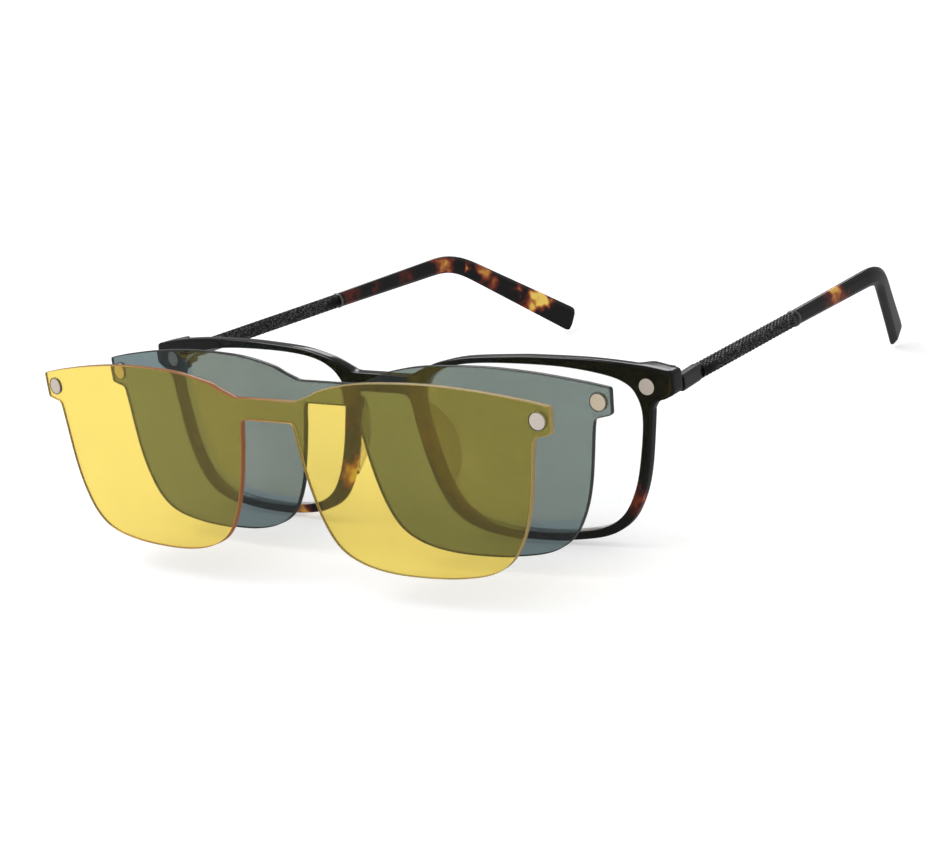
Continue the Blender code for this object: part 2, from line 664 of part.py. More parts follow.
def world_points(names):
    """All evaluated vertices of the objects whose names start with one of the words."""
    graph = bpy.context.evaluated_depsgraph_get()
    rows = []
    for obj in bpy.data.objects:
        if obj.type == "MESH" and not obj.hide_render and obj.name.startswith(names):
            seen = obj.evaluated_get(graph)
            mesh = seen.to_mesh()
            rows += [obj.matrix_world @ v.co for v in mesh.vertices]
            seen.to_mesh_clear()
    return np.array(rows)


def stand_up(root):
    """Tips the glasses about X until rims and tips touch z = 0, and centres them."""
    bpy.context.view_layer.update()
    rims, tips = world_points(("front_frame",)), world_points(("temple_tip",))
    angle = 0.0
    for _ in range(12):
        down = np.array((0, math.sin(angle), math.cos(angle)))
        along = np.array((0, math.cos(angle), -math.sin(angle)))
        rim, tip = rims[np.argmin(rims @ down)], tips[np.argmin(tips @ down)]
        angle += math.atan2((rim - tip) @ down, (tip - rim) @ along)
    root.rotation_euler.x = angle
    bpy.context.view_layer.update()
    everything = world_points(("",))
    low, high = everything.min(axis=0), everything.max(axis=0)
    root.location = (-(low[0] + high[0]) / 2, -(low[1] + high[1]) / 2, -low[2])
    bpy.context.view_layer.update()


def main():
    clear_scene()
    mats = {
        "acetate": material("black_tortoise_acetate", (0.02, 0.018, 0.016), 0.15),
        "pad": material("smoke_acetate", (0.20, 0.19, 0.17), 0.2, alpha=0.6),
        "clear": material("clear_lens", (0.95, 0.97, 0.96), 0.02, alpha=0.15),
        "magnet": material("plated_magnet", (0.62, 0.58, 0.54), 0.3, metallic=1.0),
        "steel": material("steel_screw", (0.45, 0.45, 0.46), 0.3, metallic=1.0),
        "gunmetal": material("gunmetal", (0.16, 0.16, 0.17), 0.35, metallic=1.0),
        "sun": material("grey_green_tint", (0.21, 0.26, 0.24), 0.05, alpha=0.65),
        "yellow": material("yellow_tint", (0.85, 0.68, 0.14), 0.05, alpha=0.6),
    }
    root = empty("glasses", (0, 0, 0))
    build_front(root, mats)
    for side, word in ((1, "right"), (-1, "left")):
        hinge_plate(side, word, root, mats)
        hinge_screw(side, word, root, mats)
        hinge = empty(f"hinge_axis_{word}", (side * AXIS_X, AXIS_Y, -HINGE_DROP), root)
        temple_arm(side, word, hinge, mats)
        temple_tubes(side, word, hinge, mats)
        temple_tip(side, word, hinge, mats)
    pitch = CLIP_THICKNESS + CLIP_GAP
    sun = empty("sun_clip_off", PULL * SUN_TRAVEL, root)
    build_clip("sun_clip", -pitch, "sun", sun, mats)
    yellow = empty("yellow_clip_off", PULL * YELLOW_TRAVEL, sun)
    build_clip("yellow_clip", -2 * pitch, "yellow", yellow, mats)
    stand_up(root)


main()
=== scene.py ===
import json
import math

import bmesh
import bpy
import numpy as np
from mathutils import Matrix, Vector


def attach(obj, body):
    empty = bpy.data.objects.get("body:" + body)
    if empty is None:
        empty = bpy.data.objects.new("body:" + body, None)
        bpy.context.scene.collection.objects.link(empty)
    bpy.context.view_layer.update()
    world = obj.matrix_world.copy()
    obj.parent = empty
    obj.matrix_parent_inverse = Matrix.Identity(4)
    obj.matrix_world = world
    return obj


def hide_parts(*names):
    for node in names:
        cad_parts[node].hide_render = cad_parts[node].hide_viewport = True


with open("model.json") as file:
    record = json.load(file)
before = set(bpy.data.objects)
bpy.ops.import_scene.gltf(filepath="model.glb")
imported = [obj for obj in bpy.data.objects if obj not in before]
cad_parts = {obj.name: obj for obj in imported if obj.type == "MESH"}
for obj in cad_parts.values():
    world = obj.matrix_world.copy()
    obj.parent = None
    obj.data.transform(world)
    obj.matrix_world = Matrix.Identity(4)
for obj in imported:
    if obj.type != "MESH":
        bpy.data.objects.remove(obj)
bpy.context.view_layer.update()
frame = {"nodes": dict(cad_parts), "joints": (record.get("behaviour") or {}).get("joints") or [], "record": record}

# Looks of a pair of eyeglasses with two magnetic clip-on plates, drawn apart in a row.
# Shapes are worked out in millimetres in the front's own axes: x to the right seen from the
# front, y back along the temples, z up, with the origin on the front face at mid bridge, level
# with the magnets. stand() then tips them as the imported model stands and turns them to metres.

# ------------------------------------------------------------------ sizes

MM = 0.001
FACE_RADIUS = 515  # curve of the front face, seen from above
LENS_WIDTH = 51.2
LENS_HEIGHT = 34.3
BRIDGE_GAP = 21.2
LENS_TOP = 3.9
RIM_DEPTH = 3.1
RIM_NOSE = 3.0
RIM_SIDE = 2.1
RIM_BOTTOM = 1.8
RIM_TOP = 1.6
BRIDGE_TOP = 0.5
BRIDGE_BOTTOM = -3.3
END_REACH = 5.3
END_TOP = 2.9
END_BOTTOM = -2.7
END_DEPTH = 4.3
LENS_THICKNESS = 1.6
LENS_SET_BACK = 1.0
PAD_THICKNESS = 2.2
PAD_DEPTH = 5.6
PAD_SPLAY = math.radians(22)
MAGNET_RADIUS = 1.65
MAGNET_THICKNESS = 1.5
MAGNET_OUT = 1.6
CLIP_THICKNESS = 1.2
CLIP_NOSE = 3.7
CLIP_SIDE = 0.1
CLIP_BOTTOM = 1.4
CLIP_TOP = 2.3
CLIP_BRIDGE_TOP = 1.6
CLIP_BRIDGE_BOTTOM = -2.9
CLIP_NOTCH = 2.6
CLIP_CORNER = 0.6
CORNER = 0.8
TAB_WALL = 1.35
CLIP_GAP = 0.35
GAP = 0.3
SCREW_RADIUS = 0.55
KNUCKLE_WALL = 0.45
MIDDLE_KNUCKLE = 1.2
OUTER_KNUCKLE = 0.95
PLATE_THICKNESS = 0.7
PLATE_MARGIN = 1.0
HINGE_DROP = 0.4
BAR_WIDTH = 2.4
BAR_HEIGHT = 3.3
BAR_INSET = 0.6
HEAD_LENGTH = 8.7
HEAD_TURN = math.radians(10.5)
TEMPLE_TURN = math.radians(4.0)
TEMPLE_RISE = math.radians(1.2)
SLEEVE_RADIUS = 1.65
SLEEVE_LENGTH = 40.0
RING_RADIUS = 1.8
RING_LENGTH = 0.8
CORE_RADIUS = 0.8
TIP_STRAIGHT = 31.5
TIP_BEND = 16.0
TIP_TAIL = 30.0
TAIL_TURN = math.radians(25)
TAIL_DROP = math.radians(34)
TAIL_ROLL = math.radians(18)
TIP_SIZES = ((2.7, 3.4), (2.5, 4.2), (2.2, 6.4))  # thickness and width: start, middle, end

TIP_END_RUN = 1.6  # length of a tip's rounded end
TIP_INSET = 0.3  # the looks' tip, short of the CAD tip

# Softness of edges and fineness of the meshes
FRONT_SOFT = 0.5
OPENING_SOFT = 0.22
BACK_SOFT = 1.2
PLATE_SOFT = 0.1
CURVE_STEPS = 12
STATION = 0.6
KNURL_ROUND = 15  # diamonds around a sleeve
KNURL_PITCH = 0.74
KNURL_DEPTH = 0.19
EDGE_ROWS = (0, 0.02, 0.06, 0.13, 0.28, 0.5, 0.8, 1.2)  # in from an edge of the front

# A lens opening's outline, as shares of its width from the nose and its height
LENS_SHAPE = (
    (1.000, 0.700), (0.968, 0.427), (0.930, 0.256), (0.872, 0.125),
    (0.785, 0.048), (0.652, 0.011), (0.496, 0.000), (0.350, 0.009),
    (0.232, 0.046), (0.145, 0.117), (0.086, 0.242), (0.043, 0.413),
    (0.014, 0.598), (0.000, 0.724), (0.012, 0.826), (0.059, 0.909),
    (0.145, 0.966), (0.281, 0.994), (0.477, 1.000), (0.672, 0.989),
    (0.828, 0.957), (0.926, 0.915), (0.980, 0.843),
)
COUNT = len(LENS_SHAPE)
LOWER_PART = range(0, 14)

# Top edges of the front and of a plate, as shares of the way out from the bridge and of the rise
FRONT_CREST = (
    (0.000, 0.00), (0.073, 0.39), (0.128, 0.60), (0.239, 0.86), (0.411, 0.98),
    (0.525, 1.00), (0.711, 0.94), (0.881, 0.74), (1.000, 0.48),
)
CLIP_CREST = (
    (0.000, 0.00), (0.067, 0.30), (0.121, 0.57), (0.248, 0.88), (0.378, 0.99),
    (0.549, 0.99), (0.720, 0.82), (0.890, 0.52), (1.000, 0.26),
)

# Worked out from the sizes above
EYE_IN = BRIDGE_GAP / 2
EYE_OUT = EYE_IN + LENS_WIDTH
EYE_BOTTOM = LENS_TOP - LENS_HEIGHT
RIM_OUT = EYE_OUT + RIM_SIDE
END_U = RIM_OUT + END_REACH
MAGNET_U = EYE_OUT + MAGNET_OUT
TAB_U = MAGNET_U + MAGNET_RADIUS + TAB_WALL
KNUCKLE_RADIUS = SCREW_RADIUS + GAP + KNUCKLE_WALL
SIDES = ((1, "right"), (-1, "left"))


def bend(u, depth, z):
    """Points at arc length u along the face, a depth behind it: the face is an upright cylinder."""
    turn = np.asarray(u) / FACE_RADIUS
    reach = FACE_RADIUS - np.asarray(depth)
    parts = np.broadcast_arrays(reach * np.sin(turn), FACE_RADIUS - reach * np.cos(turn), z)
    return np.stack(parts, axis=-1).astype(float)


END_X = float(bend(END_U, 0, 0)[0])
END_BACK = float(bend(END_U, 0, 0)[1]) + END_DEPTH
BUTT_Y = END_BACK + GAP
BAR_X = END_X - BAR_INSET - BAR_WIDTH / 2
AXIS_Y = BUTT_Y + PLATE_THICKNESS + KNUCKLE_RADIUS + 0.1
AXIS_X = BAR_X - BAR_WIDTH / 2 - (AXIS_Y - BUTT_Y) * math.tan(HEAD_TURN) - KNUCKLE_RADIUS - GAP
HINGE_HALF = MIDDLE_KNUCKLE / 2 + GAP + OUTER_KNUCKLE

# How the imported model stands: its hinge axes give the tilt, and a magnet's face gives the place
joints = {joint["name"]: joint for joint in frame["joints"]}
seat = next(m for m in frame["record"]["mounts"] if m["name"] == "magnet_seat_right")
_, tilt_sine, tilt_cosine = joints["temple_right_fold"]["axis"]
TURN = np.array([[1, 0, 0], [0, tilt_cosine, tilt_sine], [0, -tilt_sine, tilt_cosine]])
SHIFT = np.array(seat["pos_m"]) - TURN @ bend(MAGNET_U, 0, 0) * MM


def stand(points):
    """Millimetres in the front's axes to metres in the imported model's."""
    return np.asarray(points) @ TURN.T * MM + SHIFT


def pull(name):
    """How far a plate stands off its seat, in millimetres in the front's axes."""
    joint = joints[name]
    return -np.array(joint["axis"]) @ TURN * joint["range_m"][1] / MM


# ----------------------------------------------------------------- curves


def smooth(points, steps=CURVE_STEPS, closed=False):
    """Catmull-Rom curve: each span is the cubic that leaves its ends along their neighbours' chord."""
    p = np.asarray(points, float)
    if closed:
        p = np.vstack([p[-1:], p, p[:2]])
    else:
        p = np.vstack([2 * p[:1] - p[1:2], p, 2 * p[-1:] - p[-2:-1]])
    t = (np.arange(steps) / steps)[None, :, None]
    a, b, c, d = (p[k : len(p) - 3 + k, None] for k in range(4))
    curve = 0.5 * (2 * b + (c - a) * t + (2 * a - 5 * b + 4 * c - d) * t**2 + (3 * b - a - 3 * c + d) * t**3)
    curve = curve.reshape(-1, p.shape[1])
    return curve if closed else np.vstack([curve, p[-2:-1]])


def marks(line):
    """Length along a line up to each of its points."""
    return np.concatenate([[0], np.cumsum(np.linalg.norm(np.diff(line, axis=0), axis=1))])


def at(line, places):
    """Points of a line at the given lengths along it."""
    known = marks(line)
    return np.stack([np.interp(places, known, line[:, k]) for k in range(line.shape[1])], axis=-1)


def join_runs(runs, radius, steps=6):
    """One line from runs that meet at corners, each corner rounded by a quadratic Bezier curve."""
    line = runs[0]
    t = np.linspace(0, 1, steps + 1)[1:-1, None]
    for run in runs[1:]:
        total, corner = marks(line)[-1], run[0]
        before = np.vstack([line[marks(line) < total - radius], at(line, [total - radius])])
        after = np.vstack([at(run, [radius]), run[marks(run) > radius]])
        arc = (1 - t) ** 2 * before[-1] + 2 * t * (1 - t) * corner + t**2 * after[0]
        line = np.vstack([before, arc, after])
    return line


def nearest_mark(line, point):
    """Length along a line at its point nearest to the given one."""
    fine = np.linspace(0, marks(line)[-1], 8000)
    return fine[np.argmin(np.linalg.norm(at(line, fine) - np.asarray(point), axis=1))]


def distance_to(line, points):
    """Distance of each point from a line, the least over the line's segments."""
    a, b = line[:-1], line[1:]
    run = b - a
    flat = points.reshape(-1, 1, 2)
    share = np.sum((flat - a) * run, axis=-1) / np.maximum(np.sum(run * run, axis=-1), 1e-12)
    foot = a + np.clip(share, 0, 1)[..., None] * run
    return np.linalg.norm(flat - foot, axis=-1).min(axis=1).reshape(points.shape[:-1])


def ease(value):
    """0 below 0, 1 above 1 and a smooth step between."""
    v = np.clip(value, 0, 1)
    return v * v * (3 - 2 * v)


def fit_shape(nose, side, bottom, top, part=range(COUNT)):
    """The lens shape with a margin added on its four sides."""
    shares = np.array([LENS_SHAPE[k % COUNT] for k in part])
    low = np.array([EYE_IN - nose, EYE_BOTTOM - bottom])
    high = np.array([EYE_OUT + side, LENS_TOP + top])
    return low + shares * (high - low)


# ----------------------------------------------------------------- meshes


class Shell:
    """Grids of points that are sewn into one mesh where they meet."""

    def __init__(self):
        self.points = []
        self.quads = []
        self.tones = []
        self.count = 0

    def add(self, grid, around=False, along=False, tone=0):
        """A grid of rows by columns; around closes each row on itself, and along the columns."""
        grid = np.asarray(grid, float)
        rows, cols = grid.shape[:2]
        index = np.arange(rows * cols).reshape(rows, cols) + self.count
        index = np.hstack([index, index[:, :1]]) if around else index
        index = np.vstack([index, index[:1]]) if along else index
        corners = (index[:-1, :-1], index[:-1, 1:], index[1:, 1:], index[1:, :-1])
        self.quads.append(np.stack([c.ravel() for c in corners], axis=1))
        self.points.append(grid.reshape(-1, 3))
        self.tones.append(np.full(len(self.quads[-1]), tone))
        self.count += rows * cols
        return self

    def mesh(self, name):
        """Points closer than a tenth of a micrometre become one, and faces lose the corners they repeat."""
        points, quads = np.concatenate(self.points), np.concatenate(self.quads)
        _, first, same = np.unique(np.round(points, 4), axis=0, return_index=True, return_inverse=True)
        quads = same.reshape(-1)[quads]
        kept = quads != np.roll(quads, -1, axis=1)
        whole = kept.sum(axis=1) > 2
        loops, sizes = quads[whole][kept[whole]], kept[whole].sum(axis=1)
        mesh = bpy.data.meshes.new(name)
        mesh.vertices.add(len(first))
        mesh.vertices.foreach_set("co", stand(points[first]).ravel())
        mesh.loops.add(len(loops))
        mesh.loops.foreach_set("vertex_index", loops.astype(np.int32))
        mesh.polygons.add(len(sizes))
        mesh.polygons.foreach_set("loop_start", (np.cumsum(sizes) - sizes).astype(np.int32))
        mesh.polygons.foreach_set("material_index", np.concatenate(self.tones)[whole].astype(np.int32))
        mesh.update(calc_edges=True)
        mesh.validate()
        return mesh


def piece(name, shell, finishes, body, nodes=(), sharp=32):
    """A finished piece that rides on a body and stands for CAD nodes."""
    mesh = shell.mesh(name)
    work = bmesh.new()
    work.from_mesh(mesh)
    bmesh.ops.recalc_face_normals(work, faces=work.faces)
    work.to_mesh(mesh)
    work.free()
    for finish in finishes if isinstance(finishes, list) else [finishes]:
        mesh.materials.append(finish)
    mesh.shade_smooth()
    mesh.set_sharp_from_angle(angle=math.radians(sharp))
    obj = bpy.data.objects.new(name, mesh)
    bpy.context.scene.collection.objects.link(obj)
    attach(obj, body)
    if nodes:
        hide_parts(*nodes)
    return obj


def flip(grid, side):
    """The grid for the right side, or its mirror image for the left."""
    return np.asarray(grid) * (side, 1, 1)


def frame_of(way):
    """Two directions square to each heading: level across it, and upright."""
    way = np.asarray(way, float)
    across = np.cross(way, (0, 0, 1))
    across /= np.linalg.norm(across, axis=-1, keepdims=True)
    return across, np.cross(across, way)


def sweep(path, ways, outlines, roll=0.0):
    """Sections carried along a path, rolled about it: point + across * a + up * b for each (a, b)."""
    level, upright = frame_of(ways)
    cos, sin = np.cos(roll)[..., None], np.sin(roll)[..., None]
    across, up = level * cos - upright * sin, upright * cos + level * sin
    outlines = np.asarray(outlines, float)
    return path[:, None] + across[:, None] * outlines[..., :1] + up[:, None] * outlines[..., 1:]


def capped(grid):
    """A tube's grid with each end drawn in to its middle point."""
    ends = [np.repeat(grid[k].mean(axis=0)[None], grid.shape[1], axis=0)[None] for k in (0, -1)]
    return np.concatenate([ends[0], grid, ends[1]])


def turned(profile, base, axis, count=48):
    """A profile of (radius, height) points turned about an axis from its base."""
    axis = np.asarray(axis, float) / np.linalg.norm(axis)
    side = np.cross(axis, (0.3, 0.5, 0.8))
    side /= np.linalg.norm(side)
    other = np.cross(axis, side)
    angle = np.arange(count) * 2 * np.pi / count
    radius, height = np.asarray(profile, float).T
    spokes = np.cos(angle)[:, None] * side + np.sin(angle)[:, None] * other
    return np.asarray(base) + height[:, None, None] * axis + radius[:, None, None] * spokes


def chamfered(width, height, cut_across, cut_up, soft=0.18, steps=3):
    """Outline of a bar with its four corners cut off and each edge of the cuts softened."""
    a, b = width / 2, height / 2
    corner = [(a, b - cut_up), (a - cut_across, b)]
    quarter = corner + [(-x, y) for x, y in corner[::-1]]
    ring = np.array(quarter + [(-x, -y) for x, y in quarter])
    back, ahead = np.roll(ring, 1, axis=0) - ring, np.roll(ring, -1, axis=0) - ring
    back *= soft / np.linalg.norm(back, axis=1, keepdims=True)
    ahead *= soft / np.linalg.norm(ahead, axis=1, keepdims=True)
    t = np.linspace(0, 1, steps)[None, :, None]
    start, end = (ring + back)[:, None], (ring + ahead)[:, None]
    return ((1 - t) ** 2 * start + 2 * t * (1 - t) * ring[:, None] + t**2 * end).reshape(-1, 2)


# ------------------------------------------------------------------ front


def crest(shape, start, end_u, top):
    """A top edge that rises from its start at the bridge and runs out to the end."""
    start = np.array(start)
    return start + np.array(shape) * (np.array([end_u, top]) - start)


FRONT_CORNER = (EYE_IN - RIM_NOSE, BRIDGE_TOP)
FRONT_TOP = crest(FRONT_CREST, FRONT_CORNER, END_U, LENS_TOP + RIM_TOP)
CREST_PLACES = (15.0, 15.7, 16.75, 17.8, 18.5, 19.8, 20.9, 21.6)  # where the opening faces them


def front_edge():
    """Right half of the front's outline: bridge, top edge, end piece, rim and the bridge again."""
    margins = (RIM_NOSE, RIM_SIDE, RIM_BOTTOM, RIM_TOP)
    nose_u = EYE_IN - RIM_NOSE
    bridge = smooth([(0, BRIDGE_TOP), FRONT_CORNER])
    top = smooth(FRONT_TOP)
    end = smooth([top[-1], (END_U, END_TOP / 3), (END_U, END_BOTTOM + 1.3)])
    rim = smooth(
        [(END_U, END_BOTTOM + 1.3), (END_U - 2.0, END_BOTTOM + 0.3), (RIM_OUT + 1.3, END_BOTTOM - 0.4),
         (RIM_OUT + 0.1, END_BOTTOM - 2.0), *fit_shape(*margins, LOWER_PART),
         (nose_u - 1.0, BRIDGE_BOTTOM - 0.3), (nose_u - 3.0, BRIDGE_BOTTOM), (0, BRIDGE_BOTTOM)]
    )
    return join_runs([bridge, top, end, rim], CORNER)


def rim_pairs():
    """Places on the front's outline, each with the place on the lens opening that faces it."""
    margins = (RIM_NOSE, RIM_SIDE, RIM_BOTTOM, RIM_TOP)
    pairs = list(zip(FRONT_TOP[1:], CREST_PLACES))
    pairs += [
        ((END_U, END_TOP / 3), 21.85), ((END_U, END_BOTTOM + 1.3), 22.1),
        ((END_U - 2.0, END_BOTTOM + 0.3), 22.25), ((RIM_OUT + 1.3, END_BOTTOM - 0.4), 22.4),
        ((RIM_OUT + 0.1, END_BOTTOM - 2.0), 22.7),
    ]
    return pairs + [(p, k + COUNT) for p, k in zip(fit_shape(*margins, LOWER_PART), LOWER_PART)]


def soft_depth(distance, radius):
    """How far a rounded edge falls back at a distance in from the outline: a quarter circle."""
    left = radius - np.clip(distance, 0, radius)
    return radius - np.sqrt(np.maximum(radius**2 - left**2, 0))


def end_share(u, z):
    """0 on the rim and 1 out on the end piece."""
    return ease((u - EYE_OUT + 0.8) / 2.6) * ease((z - END_BOTTOM + 0.2) / 0.8)


def back_depth(u, z):
    """Depth of the back face: the rim's, and out at the end piece a flat plane square to Y."""
    flat = FACE_RADIUS - (FACE_RADIUS - END_BACK) / np.cos(u / FACE_RADIUS)
    return RIM_DEPTH + (flat - RIM_DEPTH) * end_share(u, z)


class FrontHalf:
    """The right half of the front: a patch round the lens opening, and half the bridge."""

    def __init__(self):
        self.painted_edge = front_edge()
        self.opening = smooth(fit_shape(0, 0, 0, 0), closed=True)
        whole = marks(self.painted_edge)[-1]
        self.cut_top = nearest_mark(self.painted_edge, (EYE_IN - 1.0, BRIDGE_TOP + 0.6))
        self.cut_bottom = nearest_mark(self.painted_edge, (EYE_IN - RIM_NOSE - 0.1, BRIDGE_BOTTOM - 1.0))
        self.whole = whole

    def inside(self, place):
        """Points of the opening at fractional indices of the lens shape."""
        ring = np.vstack([self.opening, self.opening[:1]])
        index = np.mod(place, COUNT) * CURVE_STEPS
        known = np.arange(len(ring))
        return np.stack([np.interp(index, known, ring[:, k]) for k in (0, 1)], axis=-1)

    def rows(self, length):
        """Shares of the way across the rim, close together where its two edges are round."""
        outer = np.array(EDGE_ROWS) / length[:, None]
        inner = np.array(EDGE_ROWS[:5]) / length[:, None]
        scale = np.minimum(1, 0.9 / (outer[:, -1:] + inner[:, -1:]))
        outer, inner = outer * scale, inner * scale
        middle = outer[:, -1:] + (1 - inner[:, -1:] - outer[:, -1:]) * np.array([0.33, 0.67])
        return np.hstack([outer, middle, 1 - inner[:, ::-1]])

    def stations(self):
        """Facing points of outline and opening, from the bridge along the top, round and back."""
        pairs = [(self.cut_top, 14.45)]
        pairs += [(nearest_mark(self.painted_edge, point), place) for point, place in rim_pairs()]
        pairs += [(self.cut_bottom, 13.1 + COUNT)]
        outer, inner = [], []
        for (a, i), (b, j) in zip(pairs, pairs[1:]):
            share = np.arange(max(2, math.ceil((b - a) / STATION)))
            share = share / len(share)
            outer.append(a + (b - a) * share)
            inner.append(i + (j - i) * share)
        outer = at(self.painted_edge, np.concatenate(outer + [[self.cut_bottom]]))
        inner = np.concatenate(inner + [[13.1 + COUNT]])
        return outer, inner

    def cut(self):
        """Points across the bridge's end, from its lower edge to its upper one."""
        low, high = at(self.painted_edge, [self.cut_bottom, self.cut_top])
        length = np.linalg.norm(high - low)
        soft = np.array(EDGE_ROWS) / length
        share = np.concatenate([soft, np.linspace(soft[-1], 1 - soft[-1], 8)[1:-1], 1 - soft[::-1]])
        return low, high, share

    def faces(self, flat):
        """Front and back points over flat (u, z) points, rounded towards every edge."""
        mirrored = np.vstack([self.painted_edge, self.painted_edge[::-1] * (-1, 1)])
        outer = distance_to(mirrored[:: 2], flat)
        inner = distance_to(np.vstack([self.opening, self.opening[:1]]), flat)
        front = soft_depth(outer, FRONT_SOFT) + soft_depth(inner, OPENING_SOFT)
        u, z = flat[..., 0], flat[..., 1]
        soft = BACK_SOFT * (1 - 0.5 * end_share(np.abs(u), z))
        back = back_depth(np.abs(u), z) - soft_depth(outer, soft) - soft_depth(inner, OPENING_SOFT)
        return bend(u, front, z), bend(u, back, z)

    def walls(self, front, back):
        """The strip between the front and back points along an edge."""
        share = np.array([0, 0.33, 0.67, 1])[:, None, None]
        return front[None] * (1 - share) + back[None] * share

    def add_to(self, shell, side):
        outer, places = self.stations()
        low, high, share = self.cut()
        across = low + (high - low) * share[:, None]
        across_places = 13.1 + COUNT + share * 1.35
        outline = np.vstack([outer, across[1:-1]])
        facing = self.inside(np.concatenate([places, across_places[1:-1]]))
        length = np.linalg.norm(facing - outline, axis=1)
        step = self.rows(length)[..., None]
        flat = outline[:, None] * (1 - step) + facing[:, None] * step
        front, back = self.faces(flat)
        for grid in (front, back):
            shell.add(flip(grid, side), along=True)
        rim = slice(0, len(outer))
        shell.add(flip(self.walls(front[rim, 0], back[rim, 0]), side))
        shell.add(flip(self.walls(front[:, -1], back[:, -1]), side), around=True)
        count = 14
        tops = at(self.painted_edge, np.linspace(0, self.cut_top, count))
        bottoms = at(self.painted_edge, np.linspace(self.whole, self.cut_bottom, count))
        bridge = bottoms[:, None] + (tops - bottoms)[:, None] * share[:, None]
        bridge[-1] = across
        front, back = self.faces(bridge)
        for grid in (front, back):
            shell.add(flip(grid, side))
        for row in (0, -1):
            shell.add(flip(self.walls(front[:, row], back[:, row]), side))


def disc_profile(radius, thickness, soft):
    """A disc with softened edges, from the middle of its back to the middle of its front."""
    return [(0, 0), (radius - soft - 0.1, 0), (radius - soft, 0), (radius - 0.3 * soft, 0.3 * soft),
            (radius, soft), (radius, thickness - soft), (radius - 0.3 * soft, thickness - 0.3 * soft),
            (radius - soft, thickness), (radius - soft - 0.1, thickness), (0, thickness)]


def face_normal(u):
    """Outward direction of the front face at arc length u."""
    return np.array([math.sin(u / FACE_RADIUS), -math.cos(u / FACE_RADIUS), 0])


def add_magnet(shell, side, depth, thickness, proud, offset=0.0):
    """A disc from the given depth behind the face up to slightly proud of it."""
    base = bend(MAGNET_U, depth + thickness, 0) + offset
    grid = turned(disc_profile(MAGNET_RADIUS, thickness + proud, 0.12), base, face_normal(MAGNET_U), 64)
    shell.add(flip(grid, side), around=True)
    return shell


def lens_grid():
    """Rings of points from the lens's middle out to its edge, on its front and back, as one grid."""
    outline = smooth(fit_shape(0.15, 0.15, 0.15, 0.15), 8, closed=True)
    middle = outline.mean(axis=0)
    grow = np.array([0, 0.2, 0.4, 0.6, 0.8, 0.93, 1.0])
    rings = middle + (outline - middle) * grow[:, None, None]
    front = bend(rings[..., 0], LENS_SET_BACK, rings[..., 1])
    back = bend(rings[..., 0], LENS_SET_BACK + LENS_THICKNESS, rings[..., 1])
    return np.concatenate([front, back[::-1]])


def pad_grid():
    """A fin behind the nose side of the rim: a drop-shaped section that swells and dies away."""
    middle = fit_shape(RIM_NOSE / 2, RIM_SIDE / 2, RIM_BOTTOM / 2, RIM_TOP / 2, range(10, 14))
    spine = at(smooth(middle, 12), np.linspace(0, marks(smooth(middle, 12))[-1], 72))
    share = (np.arange(72) + 0.4) / 72.2
    swell = (np.sin(np.pi * share) ** 0.6)[:, None]
    thick = PAD_THICKNESS * (0.5 + 0.5 * swell)
    angle = (np.arange(36) * 2 * np.pi / 36)[None]
    back = PAD_DEPTH * swell * 0.5 * (1 - np.cos(angle))
    fat = np.sign(np.sin(angle)) * np.abs(np.sin(angle)) ** 0.8
    out = 0.5 * thick * fat + back * math.tan(PAD_SPLAY) - 0.25 * RIM_NOSE
    root = bend(spine[:, 0], RIM_DEPTH - 0.1, spine[:, 1])[:, None]
    return capped(root + np.stack([out, back, np.zeros_like(out)], axis=-1))


def build_front(finish):
    shell = Shell()
    half = FrontHalf()
    for side, word in SIDES:
        half.add_to(shell, side)
    piece("acetate_front", shell, finish["front"], "front", ["front_frame"], sharp=40)
    for side, word in SIDES:
        magnet = add_magnet(Shell(), side, 0.0, MAGNET_THICKNESS, 0.04)
        piece(f"front_magnet_{word}", magnet, finish["magnet"], "front",
              [f"frame_magnet_{word}"])
        lens = Shell().add(flip(lens_grid(), side), around=True)
        piece(f"demo_lens_{word}", lens, finish["clear"], "front", [f"lens_{word}"])
        pad = Shell().add(flip(pad_grid(), side), around=True)
        piece(f"nose_fin_{word}", pad, finish["pad"], "front", [f"nose_pad_{word}"])


# ------------------------------------------------------------------ clips


def clip_lines():
    """Right half of a plate's outline as two lines from mid bridge to the tab: lower and upper."""
    margins = (CLIP_NOSE, CLIP_SIDE, CLIP_BOTTOM, CLIP_TOP)
    notch = (EYE_IN - CLIP_NOTCH, CLIP_BRIDGE_TOP)
    top = smooth(crest(CLIP_CREST, notch, TAB_U, LENS_TOP + CLIP_TOP))
    tab_low = (TAB_U - 0.3, -MAGNET_RADIUS - 0.8)
    tab_root = (EYE_OUT + CLIP_SIDE + 0.6, tab_low[1] - 0.8)
    nose_low = (EYE_IN - CLIP_NOSE - 0.5, CLIP_BRIDGE_BOTTOM)
    outline = join_runs(
        [
            smooth([(0, CLIP_BRIDGE_TOP), notch]),
            top,
            smooth([top[-1], tab_low]),
            smooth([tab_low, tab_root]),
            smooth([tab_root, *fit_shape(*margins, LOWER_PART), nose_low]),
            smooth([nose_low, (0, CLIP_BRIDGE_BOTTOM)]),
        ],
        CLIP_CORNER,
    )
    tip = int(np.argmax(outline[:, 0]))
    return outline[tip:][::-1], outline[: tip + 1]


def rising(line):
    """The line with u made to rise all the way, so that it can be read at any u."""
    u = np.maximum.accumulate(line[:, 0]) + np.arange(len(line)) * 1e-7
    return u, line[:, 1]


def inset(ring, distance):
    """A closed outline moved inwards, each corner along the middle of its two normals."""
    ahead = np.roll(ring, -1, axis=0) - ring
    normal = np.stack([-ahead[:, 1], ahead[:, 0]], axis=1)
    normal /= np.maximum(np.linalg.norm(normal, axis=1, keepdims=True), 1e-9)
    both = normal + np.roll(normal, 1, axis=0)
    both /= np.maximum(np.sum(both * both, axis=1, keepdims=True) / 2, 0.6)
    return ring + both * distance


